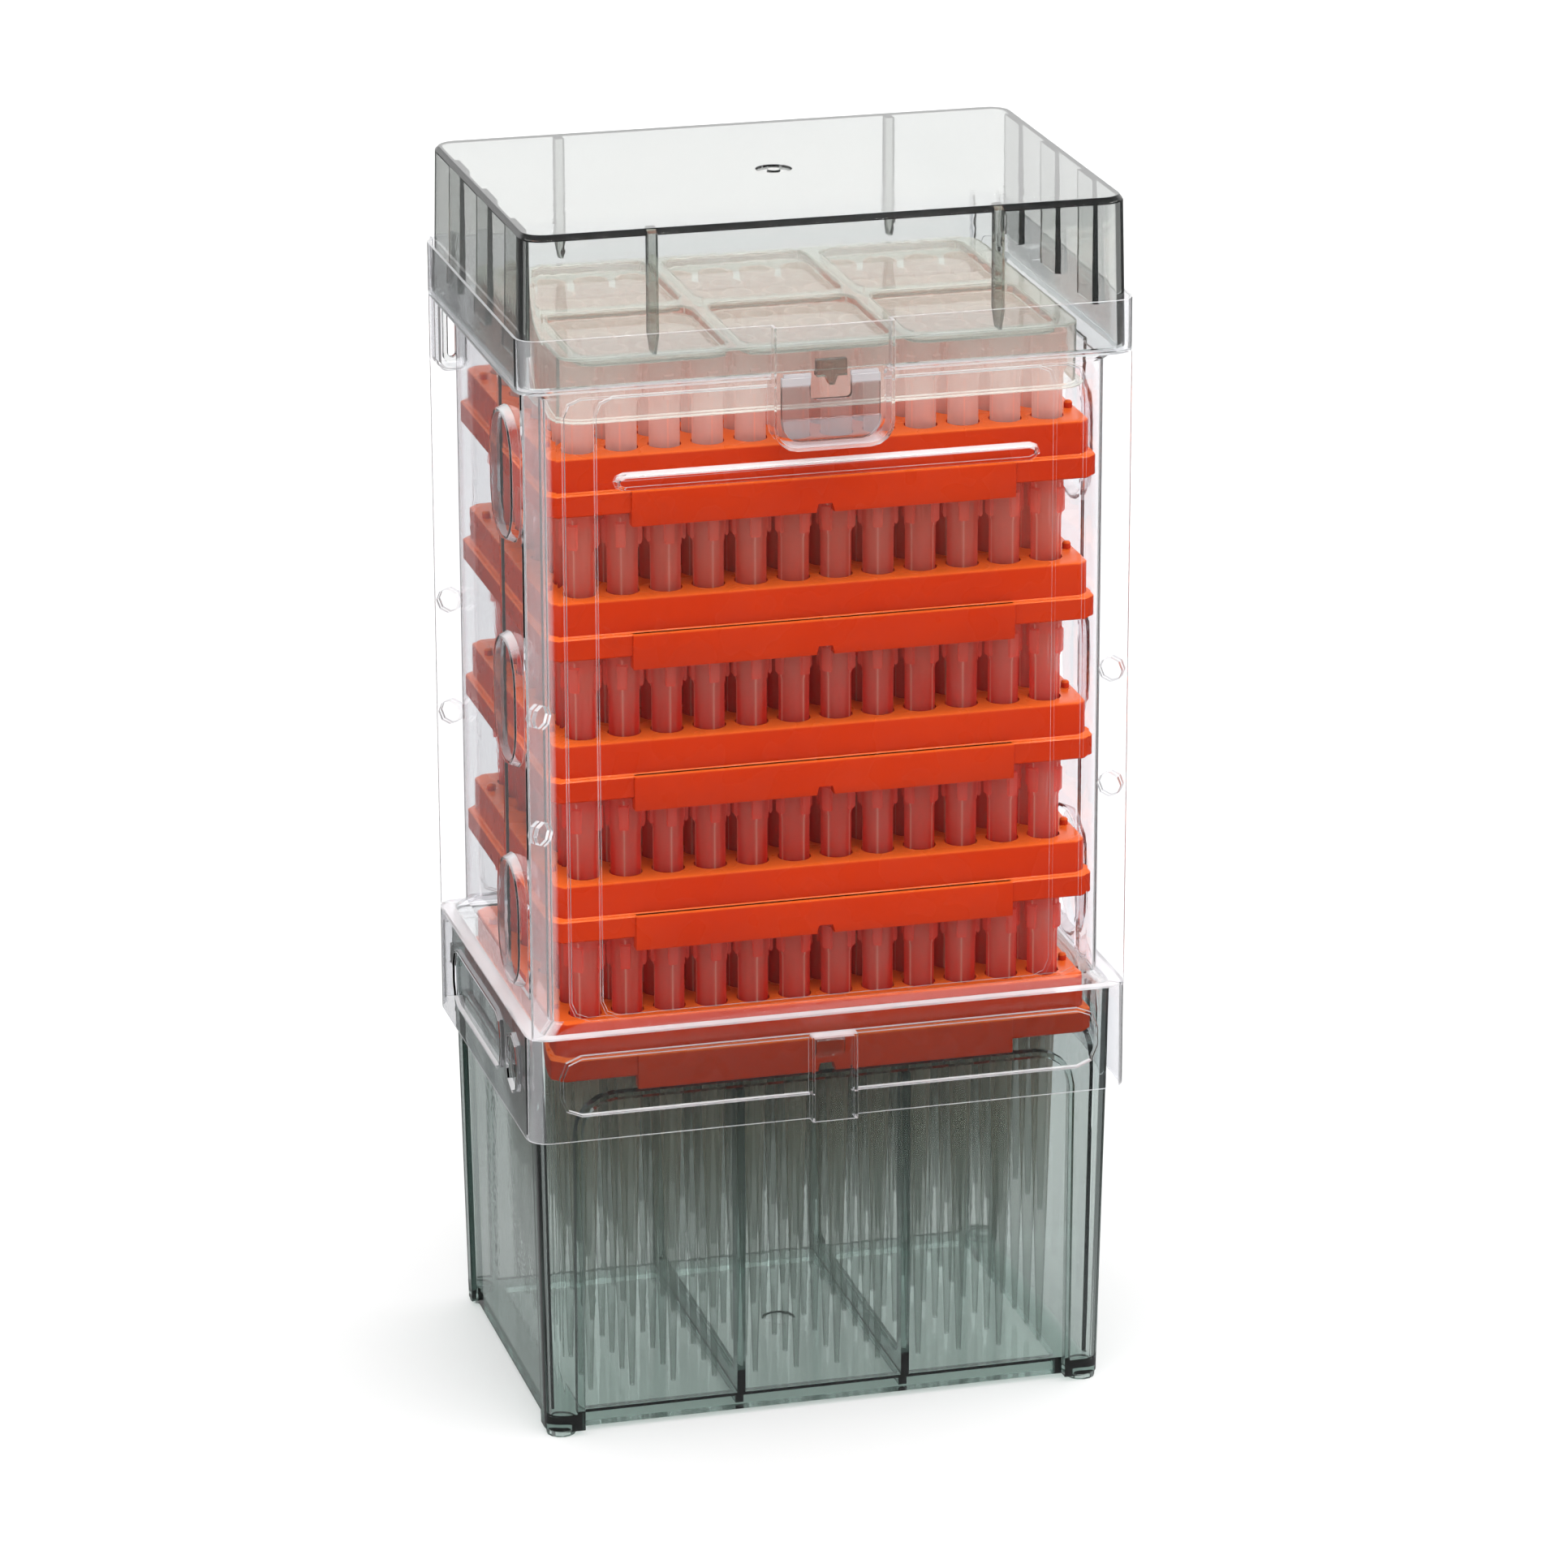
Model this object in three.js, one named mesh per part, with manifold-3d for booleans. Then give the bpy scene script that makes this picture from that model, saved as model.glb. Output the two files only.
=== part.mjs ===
// Refill tower of pipette tips: a smoke base box, a clear thermoformed sleeve, five racks of 96 tips,
// a cover tray and the lid of the box, with its latch tab on a film hinge.
// Millimetres, +Z up, +X to the right along the twelve columns, -Y at the front. The origin is on the
// surface that the feet stand on, in the middle of the footprint.
import * as THREE from "three";
import { mergeVertices } from "three/addons/utils/BufferGeometryUtils.js";
import Module from "manifold-3d";

const wasm = await Module();
wasm.setup();

// ---------------------------------------------------------------- driving dimensions

const SEAT = 0.3; // gap between pieces that rest on each other
const CUT = 1; // how far a cutter or a joined root runs past the face that it crosses

const GRID = { columns: 12, rows: 8, pitch: 9 };

const TIP = {
  length: 103,
  head: 18.2, // stands above the top of its rack
  shank: 6.4, // diameter through the rack
  point: 1.3, // diameter at the end
  taperTop: 5.6, // diameter just under the rack
  wing: 7.6, // across the four clip wings, which are the corners of the head
  sides: 4,
};

const RACK = {
  count: 5,
  marginX: 7.5, // from the outer tip centres to the edge of the block
  marginY: 6.8,
  blockHeight: 7.1,
  bandHeight: 4.7,
  bandStep: 1.3,
  chamfer: 2.2,
  lipHalf: 40.5, // half the length of the front and back lips
  lipDrop: 2.8, // below the band
  lipProud: 0.6,
  lipThick: 2.4,
  notchHalf: 1.7,
  notchHeight: 2.2,
};

const BASE = {
  rimBelow: 1, // the rim ends this far under the top of the lowest rack
  wall: 1.4,
  ledge: 1, // the lip of the lowest rack stands on the tops of the sunk panels
  playX: 2.5, // from the band of a rack to the inside of the rim
  playY: 1.2,
  draft: 1.5, // how much wider each side is at the rim than at the feet
  corner: 4,
  wallFoot: 1.2, // the walls end above the feet by this
  floorTop: 4.6,
  floorThick: 1.5,
  columnX: 8, // width of a corner column on the front
  columnY: 7, // and on the side
  panelInX: 1.3, // depth of the sunk side panels
  panelInY: 2.3, // depth of the sunk front and back panels
  archRadius: 7,
  gateRadius: 4, // the ring in the middle of the floor
  gateDepth: 0.5,
  floorRim: 8.3, // solid border round the sunk underside of the floor
  footRadius: 3.5,
  dimpleRadius: 1.9,
  dimpleDepth: 0.9,
  ribAt: 2, // tip pitches from the middle to each rib frame
  ribThick: 1.8,
  ribProud: 3.2,
  hookHalf: 3.1,
  hookHeight: 6,
  hookBelowRim: 4.5,
  hookProud: 2,
  lugHalf: 2.4,
  lugHeight: 4.5,
  lugBelowRim: 9,
  lugProud: 2.6,
};

const SLEEVE = {
  sheet: 0.6,
  rackPlay: 0.4, // from a rack to the inside of the waist
  flareX: 5.2, // how far the skirt and the collar stand out from the waist
  flareY: 3.9,
  cornerOuter: 4.5,
  cornerWaist: 3,
  skirtHeight: 23.1,
  shoulder: 2.2, // height of the slope between a ledge and the waist
  ledge: 3, // flat width of a ledge
  collarHeight: 10.6, // above the ledge that holds the lid
  panelIn: 0.9, // depth of the long sunk panels of the skirt
  panelHalf: 57.4,
  panelHeight: 12.2,
  panelFromTop: 5.1,
  panelRadius: 4,
  sidePanelFrom: -16.3, // the sunk panels of the two sides lie behind the snaps
  sidePanelTo: 29.5,
  snapInAt: -27, // an upright dimple on each side snaps over the wall of the base
  snapInHalf: 4.8,
  snapInDepth: 1.1,
  pocketProud: 2.4,
  skirtPocketHalf: 4.9,
  skirtPocketTop: 4.2, // below the top of the skirt
  latchPocketHalf: 12.6,
  latchPocketRadius: 5,
  latchPocketPlay: 1.3, // under the latch tab
  legPocketHalf: 3.4,
  beadHalf: 45,
  beadHeight: 4.2,
  beadProud: 1.9,
  beadRack: 0, // the bead lies level with the middle of this rack's block, counted from the top
  facePanels: [55.3, 48.8], // half widths of the two steps of the broad raised face
  facePanelStep: 0.35,
  facePanelRadius: 4,
  stripProud: 0.7, // a raised strip on each side carries the grips
  stripAtY: -15,
  gripCount: 3,
  gripPitch: 48.4,
  gripDrop: 4.1, // the middle grip is this far under the middle of the waist
  gripHalf: 10.5,
  gripHeight: 29,
  gripRadius: 9,
  gripProud: 2,
  snapRadius: 2.6,
  snapProud: 1,
  snapPitch: 25,
};

const TRAY = {
  sheet: 0.5,
  headPlayX: 1.3, // from the outer tips to the inside of the tray
  headPlayY: 3.3,
  skirt: 13.4, // height of its side walls
  flange: 1.7,
  pocketDepth: 2,
  columns: 3,
  rows: 2,
  rib: 3.4, // width of the bars between the pockets
  borderX: 4.4,
  borderY: 2.5,
  corner: 3.5,
};

const LID = {
  height: 31.3,
  wall: 1.5,
  roof: 1.6,
  draft: 0.6,
  playX: 0.5, // from the lid to the inside of the collar
  playY: 0.8,
  corner: 4.2,
  finAt: 36,
  finTop: 1.9,
  finFoot: 0.7,
  finProud: 2.6,
  finAboveRim: 5.4,
  barPitch: 26,
  barShift: 4.8, // the bars of the two sides are turned about the middle of the lid
  barWidth: 10.5,
  barThick: 0.9,
  barAboveRim: 5,
  gateRadius: 4.2,
  gateDepth: 0.5,
  gatePin: 1.6,
  blockHalf: 3.15,
  blockHeight: 3.4,
  blockBelow: 1,
  blockProud: 1.6,
  wedge: 1.8,
  legHalf: 1.8,
  legLength: 16.5,
  legThick: 1.8,
  legFrame: 0.9,
};

const LATCH = {
  half: 10.3,
  length: 14.4,
  thick: 1.3,
  corner: 4,
  lip: 4.8, // height of the thick lower edge
  lipThick: 0.5,
  notchHalf: 4.3,
  notchDepth: 5.5,
  barHalf: 2.9, // half the width of each film hinge
  barAt: 7,
  film: 0.5,
};

// ---------------------------------------------------------------- sizes that follow

const gridHalfX = ((GRID.columns - 1) * GRID.pitch) / 2;
const gridHalfY = ((GRID.rows - 1) * GRID.pitch) / 2;

const rackHeight = RACK.blockHeight + RACK.bandHeight;
const stackPitch = rackHeight + TIP.head + SEAT;
const blockX = gridHalfX + RACK.marginX;
const blockY = gridHalfY + RACK.marginY;
const bandX = blockX + RACK.bandStep;
const bandY = blockY + RACK.bandStep;
const lipY = bandY + RACK.lipProud;

// the lowest rack hangs in the base: its tips end above the floor
const tipEnd = BASE.floorTop + 2;
const rackTop = (index) =>
  tipEnd + TIP.length - TIP.head + (RACK.count - 1 - index) * stackPitch;
const lowestRackTop = rackTop(RACK.count - 1);
const lipFoot = lowestRackTop - rackHeight - RACK.lipDrop;

const baseHeight = lowestRackTop - BASE.rimBelow;
const rimX = bandX + BASE.playX + BASE.wall;
const rimY = bandY + BASE.playY + BASE.wall;
const footX = rimX - BASE.draft;
const footY = rimY - BASE.draft;
const archTop = lipFoot - SEAT - BASE.ledge;

const waistX = bandX + SLEEVE.rackPlay + SLEEVE.sheet;
const waistY = lipY + SLEEVE.rackPlay + SLEEVE.sheet;
const facePanelProud = SLEEVE.facePanels.length * SLEEVE.facePanelStep;
const outerX = waistX + SLEEVE.flareX;
const outerY = waistY + SLEEVE.flareY;
const skirtTop = baseHeight + SEAT + SLEEVE.sheet;
const skirtFoot = skirtTop - SLEEVE.skirtHeight;
const headTop = rackTop(0) + TIP.head;
const trayFloor = headTop + SEAT; // underside of the pockets of the tray
const trayTop = trayFloor + TRAY.sheet + TRAY.pocketDepth;
const trayFoot = trayTop - TRAY.skirt;
const collarLedge = trayTop - 4.9; // the lid stands a little below the top of the tray
const collarTop = collarLedge + SLEEVE.collarHeight;
const lidFoot = collarLedge + SEAT;
const lidTop = lidFoot + LID.height;
const lidX = outerX - SLEEVE.sheet - LID.playX;
const lidY = outerY - SLEEVE.sheet - LID.playY;
const pocketY = outerY + SLEEVE.pocketProud;

// ---------------------------------------------------------------- shaping helpers

function solid(geometry) {
  const bare = geometry.clone();
  bare.deleteAttribute("normal");
  bare.deleteAttribute("uv");
  const merged = mergeVertices(bare, 1e-4);
  return new wasm.Manifold(
    new wasm.Mesh({
      numProp: 3,
      vertProperties: merged.attributes.position.array,
      triVerts: new Uint32Array(merged.index.array),
    }),
  );
}

function join(geometries) {
  return geometries.map(solid).reduce((sum, one) => sum.add(one));
}

function cut(body, geometries) {
  return geometries.map(solid).reduce((rest, one) => rest.subtract(one), body);
}

function meshOf(name, body, material) {
  const made = body.getMesh();
  const geometry = new THREE.BufferGeometry();
  const positions = new Float32Array(made.numVert * 3);
  for (let i = 0; i < made.numVert; i++) {
    positions.set(made.vertProperties.subarray(i * made.numProp, i * made.numProp + 3), i * 3);
  }
  geometry.setAttribute("position", new THREE.BufferAttribute(positions, 3));
  geometry.setIndex(new THREE.BufferAttribute(new Uint32Array(made.triVerts), 1));
  const mesh = new THREE.Mesh(geometry, material);
  mesh.name = name;
  return mesh;
}

// An outline centred on the origin, with quarter-round corners.
function roundedOutline(halfX, halfY, radius) {
  const shape = new THREE.Shape();
  shape.moveTo(-halfX + radius, -halfY);
  shape.lineTo(halfX - radius, -halfY);
  shape.absarc(halfX - radius, -halfY + radius, radius, -Math.PI / 2, 0);
  shape.lineTo(halfX, halfY - radius);
  shape.absarc(halfX - radius, halfY - radius, radius, 0, Math.PI / 2);
  shape.lineTo(-halfX + radius, halfY);
  shape.absarc(-halfX + radius, halfY - radius, radius, Math.PI / 2, Math.PI);
  shape.lineTo(-halfX, -halfY + radius);
  shape.absarc(-halfX + radius, -halfY + radius, radius, Math.PI, 1.5 * Math.PI);
  return shape;
}

function chamferedOutline(halfX, halfY, chamfer) {
  const inX = halfX - chamfer;
  const inY = halfY - chamfer;
  return new THREE.Shape(
    [
      [-inX, -halfY],
      [inX, -halfY],
      [halfX, -inY],
      [halfX, inY],
      [inX, halfY],
      [-inX, halfY],
      [-halfX, inY],
      [-halfX, -inY],
    ].map(([x, y]) => new THREE.Vector2(x, y)),
  );
}

// A prism standing on z0, whose top is wider than its foot by flare on each side. An arc of a shape is
// drawn with twice as many chords as curveSegments.
function prism(shape, z0, z1, flare = 0, curveSegments = 2) {
  const geometry = new THREE.ExtrudeGeometry(shape, {
    depth: z1 - z0,
    bevelEnabled: false,
    curveSegments,
  });
  const p = geometry.attributes.position;
  for (let i = 0; i < p.count; i++) {
    const share = p.getZ(i) / (z1 - z0);
    p.setX(i, p.getX(i) + Math.sign(p.getX(i)) * flare * share);
    p.setY(i, p.getY(i) + Math.sign(p.getY(i)) * flare * share);
    p.setZ(i, p.getZ(i) + z0);
  }
  return geometry;
}

// A slope between two rounded outlines of different size.
function slope(lowX, lowY, highX, highY, radius, z0, z1) {
  const geometry = prism(roundedOutline(lowX, lowY, radius), z0, z1);
  const p = geometry.attributes.position;
  for (let i = 0; i < p.count; i++) {
    if (p.getZ(i) > (z0 + z1) / 2) {
      p.setX(i, p.getX(i) + Math.sign(p.getX(i)) * (highX - lowX));
      p.setY(i, p.getY(i) + Math.sign(p.getY(i)) * (highY - lowY));
    }
  }
  return geometry;
}

// An upright outline in x and z, given its depth in y.
function upright(shape, y0, y1, curveSegments = 2) {
  const geometry = new THREE.ExtrudeGeometry(shape, { depth: y1 - y0, bevelEnabled: false, curveSegments });
  return geometry.rotateX(Math.PI / 2).translate(0, y1, 0);
}

// The same outline facing sideways: its x runs along y.
function sideways(shape, x0, x1, curveSegments = 2) {
  return upright(shape, -x1, -x0, curveSegments).rotateZ(Math.PI / 2);
}

function box(x0, x1, y0, y1, z0, z1) {
  return new THREE.BoxGeometry(x1 - x0, y1 - y0, z1 - z0).translate(
    (x0 + x1) / 2,
    (y0 + y1) / 2,
    (z0 + z1) / 2,
  );
}

function upCylinder(topRadius, footRadius, x, y, z0, z1, sides) {
  return new THREE.CylinderGeometry(topRadius, footRadius, z1 - z0, sides)
    .rotateX(Math.PI / 2)
    .translate(x, y, (z0 + z1) / 2);
}

function shifted(shape, x, z, curveSegments = 2) {
  return new THREE.Shape(
    shape.getPoints(curveSegments).map((p) => new THREE.Vector2(p.x + x, p.y + z)),
  );
}

function half(geometry) {
  return geometry.clone().rotateZ(Math.PI);
}

function bothEnds(geometries) {
  return [...geometries, ...geometries.map(half)];
}

// ---------------------------------------------------------------- racks and tips

function tipCentres() {
  const centres = [];
  for (let column = 0; column < GRID.columns; column++) {
    for (let row = 0; row < GRID.rows; row++) {
      centres.push([column * GRID.pitch - gridHalfX, row * GRID.pitch - gridHalfY]);
    }
  }
  return centres;
}

// The lip hangs in front of the band; a notch in the middle of its foot clears a finger nail.
function lip() {
  const top = -RACK.blockHeight;
  const foot = -rackHeight - RACK.lipDrop;
  const shape = new THREE.Shape();
  shape.moveTo(-RACK.lipHalf, foot);
  shape.lineTo(-RACK.notchHalf, foot);
  shape.lineTo(-RACK.notchHalf, foot + RACK.notchHeight);
  shape.lineTo(RACK.notchHalf, foot + RACK.notchHeight);
  shape.lineTo(RACK.notchHalf, foot);
  shape.lineTo(RACK.lipHalf, foot);
  shape.lineTo(RACK.lipHalf, top);
  shape.lineTo(-RACK.lipHalf, top);
  return upright(shape, -lipY, -lipY + RACK.lipThick);
}

// A rack with its tips. The points of every tip but the lowest are inside the tip below.
function rackBody(lowest) {
  const parts = [
    prism(chamferedOutline(blockX, blockY, RACK.chamfer), -RACK.blockHeight - CUT, 0),
    prism(chamferedOutline(bandX, bandY, RACK.chamfer), -rackHeight, -RACK.blockHeight),
    ...bothEnds([lip()]),
  ];
  for (const [x, y] of tipCentres()) {
    parts.push(upCylinder(TIP.wing / 2, TIP.shank / 2, x, y, -CUT, TIP.head, TIP.sides));
    if (lowest) {
      const end = TIP.head - TIP.length;
      parts.push(
        upCylinder(TIP.taperTop / 2, TIP.point / 2, x, y, end, -rackHeight + CUT / 2, TIP.sides),
      );
    }
  }
  return join(parts);
}

// ---------------------------------------------------------------- base

// The outside of the base, or with an inset the inside: sunk panels leave a column at each corner.
function baseForm(inset, z0, z1) {
  const reach = (z) => (BASE.draft * z) / baseHeight;
  const shape = roundedOutline(
    footX + reach(z0) - inset,
    footY + reach(z0) - inset,
    Math.max(BASE.corner - inset, 0.5),
  );
  const form = solid(prism(shape, z0, z1, reach(z1) - reach(z0)));
  const lean = BASE.draft / baseHeight;
  const archHalfX = footX - BASE.columnX + inset;
  const archHalfY = footY - BASE.columnY + inset;
  const top = archTop + (inset > 0 ? BASE.ledge : 0);
  const radius = BASE.archRadius + inset;
  const arch = (halfWidth) => {
    const outline = new THREE.Shape();
    outline.moveTo(-halfWidth, -CUT);
    outline.lineTo(halfWidth, -CUT);
    outline.lineTo(halfWidth, top - radius);
    outline.absarc(halfWidth - radius, top - radius, radius, 0, Math.PI / 2);
    outline.lineTo(-halfWidth + radius, top);
    outline.absarc(-halfWidth + radius, top - radius, radius, Math.PI / 2, Math.PI);
    return outline;
  };
  // the face of a sunk panel leans with the wall that it is sunk into
  const leaning = (geometry, axis) => {
    const p = geometry.attributes.position;
    for (let i = 0; i < p.count; i++) {
      const moved = p.getComponent(i, axis) - lean * p.getZ(i);
      p.setComponent(i, axis, moved);
    }
    return geometry;
  };
  const front = upright(arch(archHalfX), -footY - 10, -footY + BASE.panelInY + inset);
  const side = sideways(arch(archHalfY), -footX - 10, -footX + BASE.panelInX + inset);
  return cut(form, bothEnds([leaning(front, 1), leaning(side, 0)]));
}

function ribFrame(x) {
  const z0 = BASE.wallFoot + 0.3;
  const z1 = archTop - 2;
  const inner = footY - BASE.panelInY - BASE.wall;
  const outline = new THREE.Shape();
  outline.moveTo(-inner - BASE.wall / 2, z0);
  outline.lineTo(inner + BASE.wall / 2, z0);
  outline.lineTo(inner + BASE.wall / 2, z1);
  outline.lineTo(inner - BASE.ribProud, z1);
  outline.lineTo(inner - BASE.ribProud, BASE.floorTop + 2 * BASE.ribProud);
  outline.absarc(
    inner - 2 * BASE.ribProud,
    BASE.floorTop + 2 * BASE.ribProud,
    BASE.ribProud,
    0,
    -Math.PI / 2,
    true,
  );
  outline.lineTo(-inner + 2 * BASE.ribProud, BASE.floorTop + BASE.ribProud);
  outline.absarc(
    -inner + 2 * BASE.ribProud,
    BASE.floorTop + 2 * BASE.ribProud,
    BASE.ribProud,
    -Math.PI / 2,
    -Math.PI,
    true,
  );
  outline.lineTo(-inner + BASE.ribProud, z1);
  outline.lineTo(-inner - BASE.wall / 2, z1);
  return sideways(outline, x - BASE.ribThick / 2, x + BASE.ribThick / 2);
}

function catchHook() {
  const top = baseHeight - BASE.hookBelowRim;
  const face = rimY - 0.3;
  const outline = new THREE.Shape();
  outline.moveTo(-face + CUT / 2, top);
  outline.lineTo(-face - BASE.hookProud, top - 1.2);
  outline.lineTo(-face - BASE.hookProud, top - 0.6 * BASE.hookHeight);
  outline.lineTo(-face + CUT / 2, top - BASE.hookHeight);
  return sideways(outline, -BASE.hookHalf, BASE.hookHalf);
}

function hingeLug(side) {
  const top = baseHeight - BASE.lugBelowRim;
  const x = side * (rimX - BASE.corner + 0.6);
  return box(
    x - BASE.lugHalf,
    x + BASE.lugHalf,
    rimY - BASE.wall,
    rimY + BASE.lugProud,
    top - BASE.lugHeight,
    top,
  );
}

function baseBody() {
  const feet = [];
  const dimples = [];
  for (const [sx, sy] of [[-1, -1], [1, -1], [1, 1], [-1, 1]]) {
    const x = sx * (footX - BASE.footRadius);
    const y = sy * (footY - BASE.footRadius);
    feet.push(upCylinder(BASE.footRadius, BASE.footRadius - 0.4, x, y, 0, BASE.floorTop, 14));
    dimples.push(
      upCylinder(BASE.dimpleRadius, BASE.dimpleRadius, x, y, -CUT, BASE.dimpleDepth, 8),
    );
  }
  const outside = baseForm(0, BASE.wallFoot, baseHeight);
  const inside = baseForm(BASE.wall, BASE.floorTop, baseHeight + CUT);
  const under = prism(
    roundedOutline(footX - BASE.floorRim, footY - BASE.floorRim + 1.7, 1.5),
    -CUT,
    BASE.floorTop - BASE.floorThick,
  );
  const ribX = BASE.ribAt * GRID.pitch;
  const shell = cut(outside.subtract(inside), [under]);
  const filled = [...feet, ribFrame(-ribX), ribFrame(ribX), catchHook(), hingeLug(-1), hingeLug(1)];
  const gate = upCylinder(
    BASE.gateRadius,
    BASE.gateRadius - 0.5,
    0,
    0,
    BASE.floorTop - BASE.gateDepth,
    BASE.floorTop + CUT,
    14,
  );
  return cut(shell.add(join(filled)), [...dimples, gate]);
}

// ---------------------------------------------------------------- sleeve

function pill(halfWidth, height, middle, radius, curveSegments = 1, centre = 0) {
  return shifted(roundedOutline(halfWidth, height / 2, radius), centre, middle, curveSegments);
}

// A raised or sunk form with sloping sides, on the front: its foot is on the wall, its top is smaller.
function pressed(halfWidth, height, middle, radius, wallY, proud, sideSlope, curveSegments) {
  const outline = pill(halfWidth, height, middle, radius, curveSegments);
  const geometry = upright(outline, wallY - proud, wallY + CUT);
  const p = geometry.attributes.position;
  for (let i = 0; i < p.count; i++) {
    if (p.getY(i) < wallY) {
      p.setX(i, p.getX(i) - Math.sign(p.getX(i)) * sideSlope);
      p.setZ(i, p.getZ(i) - Math.sign(p.getZ(i) - middle) * sideSlope);
    }
  }
  return geometry;
}

function sleeveBulges(inset) {
  const bulges = [];
  const waistFoot = skirtTop + SLEEVE.shoulder;
  const waistHead = collarLedge - SLEEVE.sheet - SLEEVE.shoulder;
  const middle = (waistFoot + waistHead) / 2;
  // the broad raised face of the waist, in steps
  SLEEVE.facePanels.forEach((halfWidth, i) => {
    bulges.push(
      ...bothEnds([
        pressed(
          halfWidth - inset,
          waistHead - waistFoot + 1 - 2 * inset,
          middle,
          SLEEVE.facePanelRadius - inset,
          -waistY + inset,
          (i + 1) * SLEEVE.facePanelStep,
          0.3,
        ),
      ]),
    );
  });
  // the bead level with one rack
  const beadZ = rackTop(SLEEVE.beadRack) - RACK.blockHeight / 2 - 0.8;
  bulges.push(
    ...bothEnds([
      pressed(
        SLEEVE.beadHalf - inset,
        SLEEVE.beadHeight - 2 * inset,
        beadZ,
        SLEEVE.beadHeight / 2 - inset - 0.05,
        -waistY - facePanelProud + inset,
        SLEEVE.beadProud,
        0.6,
      ),
    ]),
  );
  // the strips on the sides and the grips on them
  const sides = [
    box(
      -SLEEVE.gripHalf + inset,
      SLEEVE.gripHalf - inset,
      -waistX - SLEEVE.stripProud + inset,
      -waistX + CUT,
      waistFoot - 0.6,
      waistHead + 0.6,
    ),
  ];
  for (let i = 0; i < SLEEVE.gripCount; i++) {
    const above = (i - (SLEEVE.gripCount - 1) / 2) * SLEEVE.gripPitch;
    sides.push(
      pressed(
        SLEEVE.gripHalf - inset,
        SLEEVE.gripHeight - 2 * inset,
        middle + above - SLEEVE.gripDrop,
        SLEEVE.gripRadius - inset,
        -waistX - SLEEVE.stripProud + inset,
        SLEEVE.gripProud,
        1,
        2,
      ),
    );
  }
  for (const piece of sides) {
    bulges.push(piece.clone().rotateZ(-Math.PI / 2).translate(0, SLEEVE.stripAtY, 0));
    bulges.push(piece.clone().rotateZ(Math.PI / 2).translate(0, SLEEVE.stripAtY, 0));
  }
  // the pocket round the latch tab, its twin for the other way round, and the pockets of the legs
  const latchFoot = lidFoot - LATCH.length - SLEEVE.latchPocketPlay;
  const pocket = (halfWidth, foot, top, radius) => {
    const outline = new THREE.Shape();
    const w = halfWidth - inset;
    const z0 = foot + inset;
    const r = radius - inset;
    outline.moveTo(-w + r, z0);
    outline.lineTo(w - r, z0);
    outline.absarc(w - r, z0 + r, r, -Math.PI / 2, 0);
    outline.lineTo(w, top);
    outline.lineTo(-w, top);
    outline.lineTo(-w, z0 + r);
    outline.absarc(-w + r, z0 + r, r, Math.PI, 1.5 * Math.PI);
    return outline;
  };
  const collarEnd = collarTop + (inset > 0 ? CUT : 0);
  bulges.push(
    upright(
      pocket(SLEEVE.latchPocketHalf, latchFoot, collarEnd, SLEEVE.latchPocketRadius),
      -pocketY + inset,
      -waistY + CUT,
    ),
  );
  const legFoot = lidFoot - LID.legLength - SLEEVE.latchPocketPlay;
  for (const side of [-1, 1]) {
    bulges.push(
      upright(
        pocket(SLEEVE.legPocketHalf, legFoot, collarEnd, 2),
        -pocketY + inset,
        -waistY + CUT,
      )
        .rotateZ(Math.PI)
        .translate(side * (lidX - LID.corner), 0, 0),
    );
  }
  // the pockets over the catch of the base and, behind, over its lugs
  const skirtEnd = skirtFoot - (inset > 0 ? CUT : 0);
  const over = (halfWidth) =>
    box(
      -halfWidth + inset,
      halfWidth - inset,
      -pocketY + inset,
      -waistY,
      skirtEnd,
      skirtTop - SLEEVE.skirtPocketTop - inset,
    );
  bulges.push(over(SLEEVE.skirtPocketHalf));
  for (const side of [-1, 1]) {
    bulges.push(
      over(SLEEVE.skirtPocketHalf - 0.8)
        .rotateZ(Math.PI)
        .translate(side * (rimX - BASE.corner + 0.6), 0, 0),
    );
  }
  return bulges;
}

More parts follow.
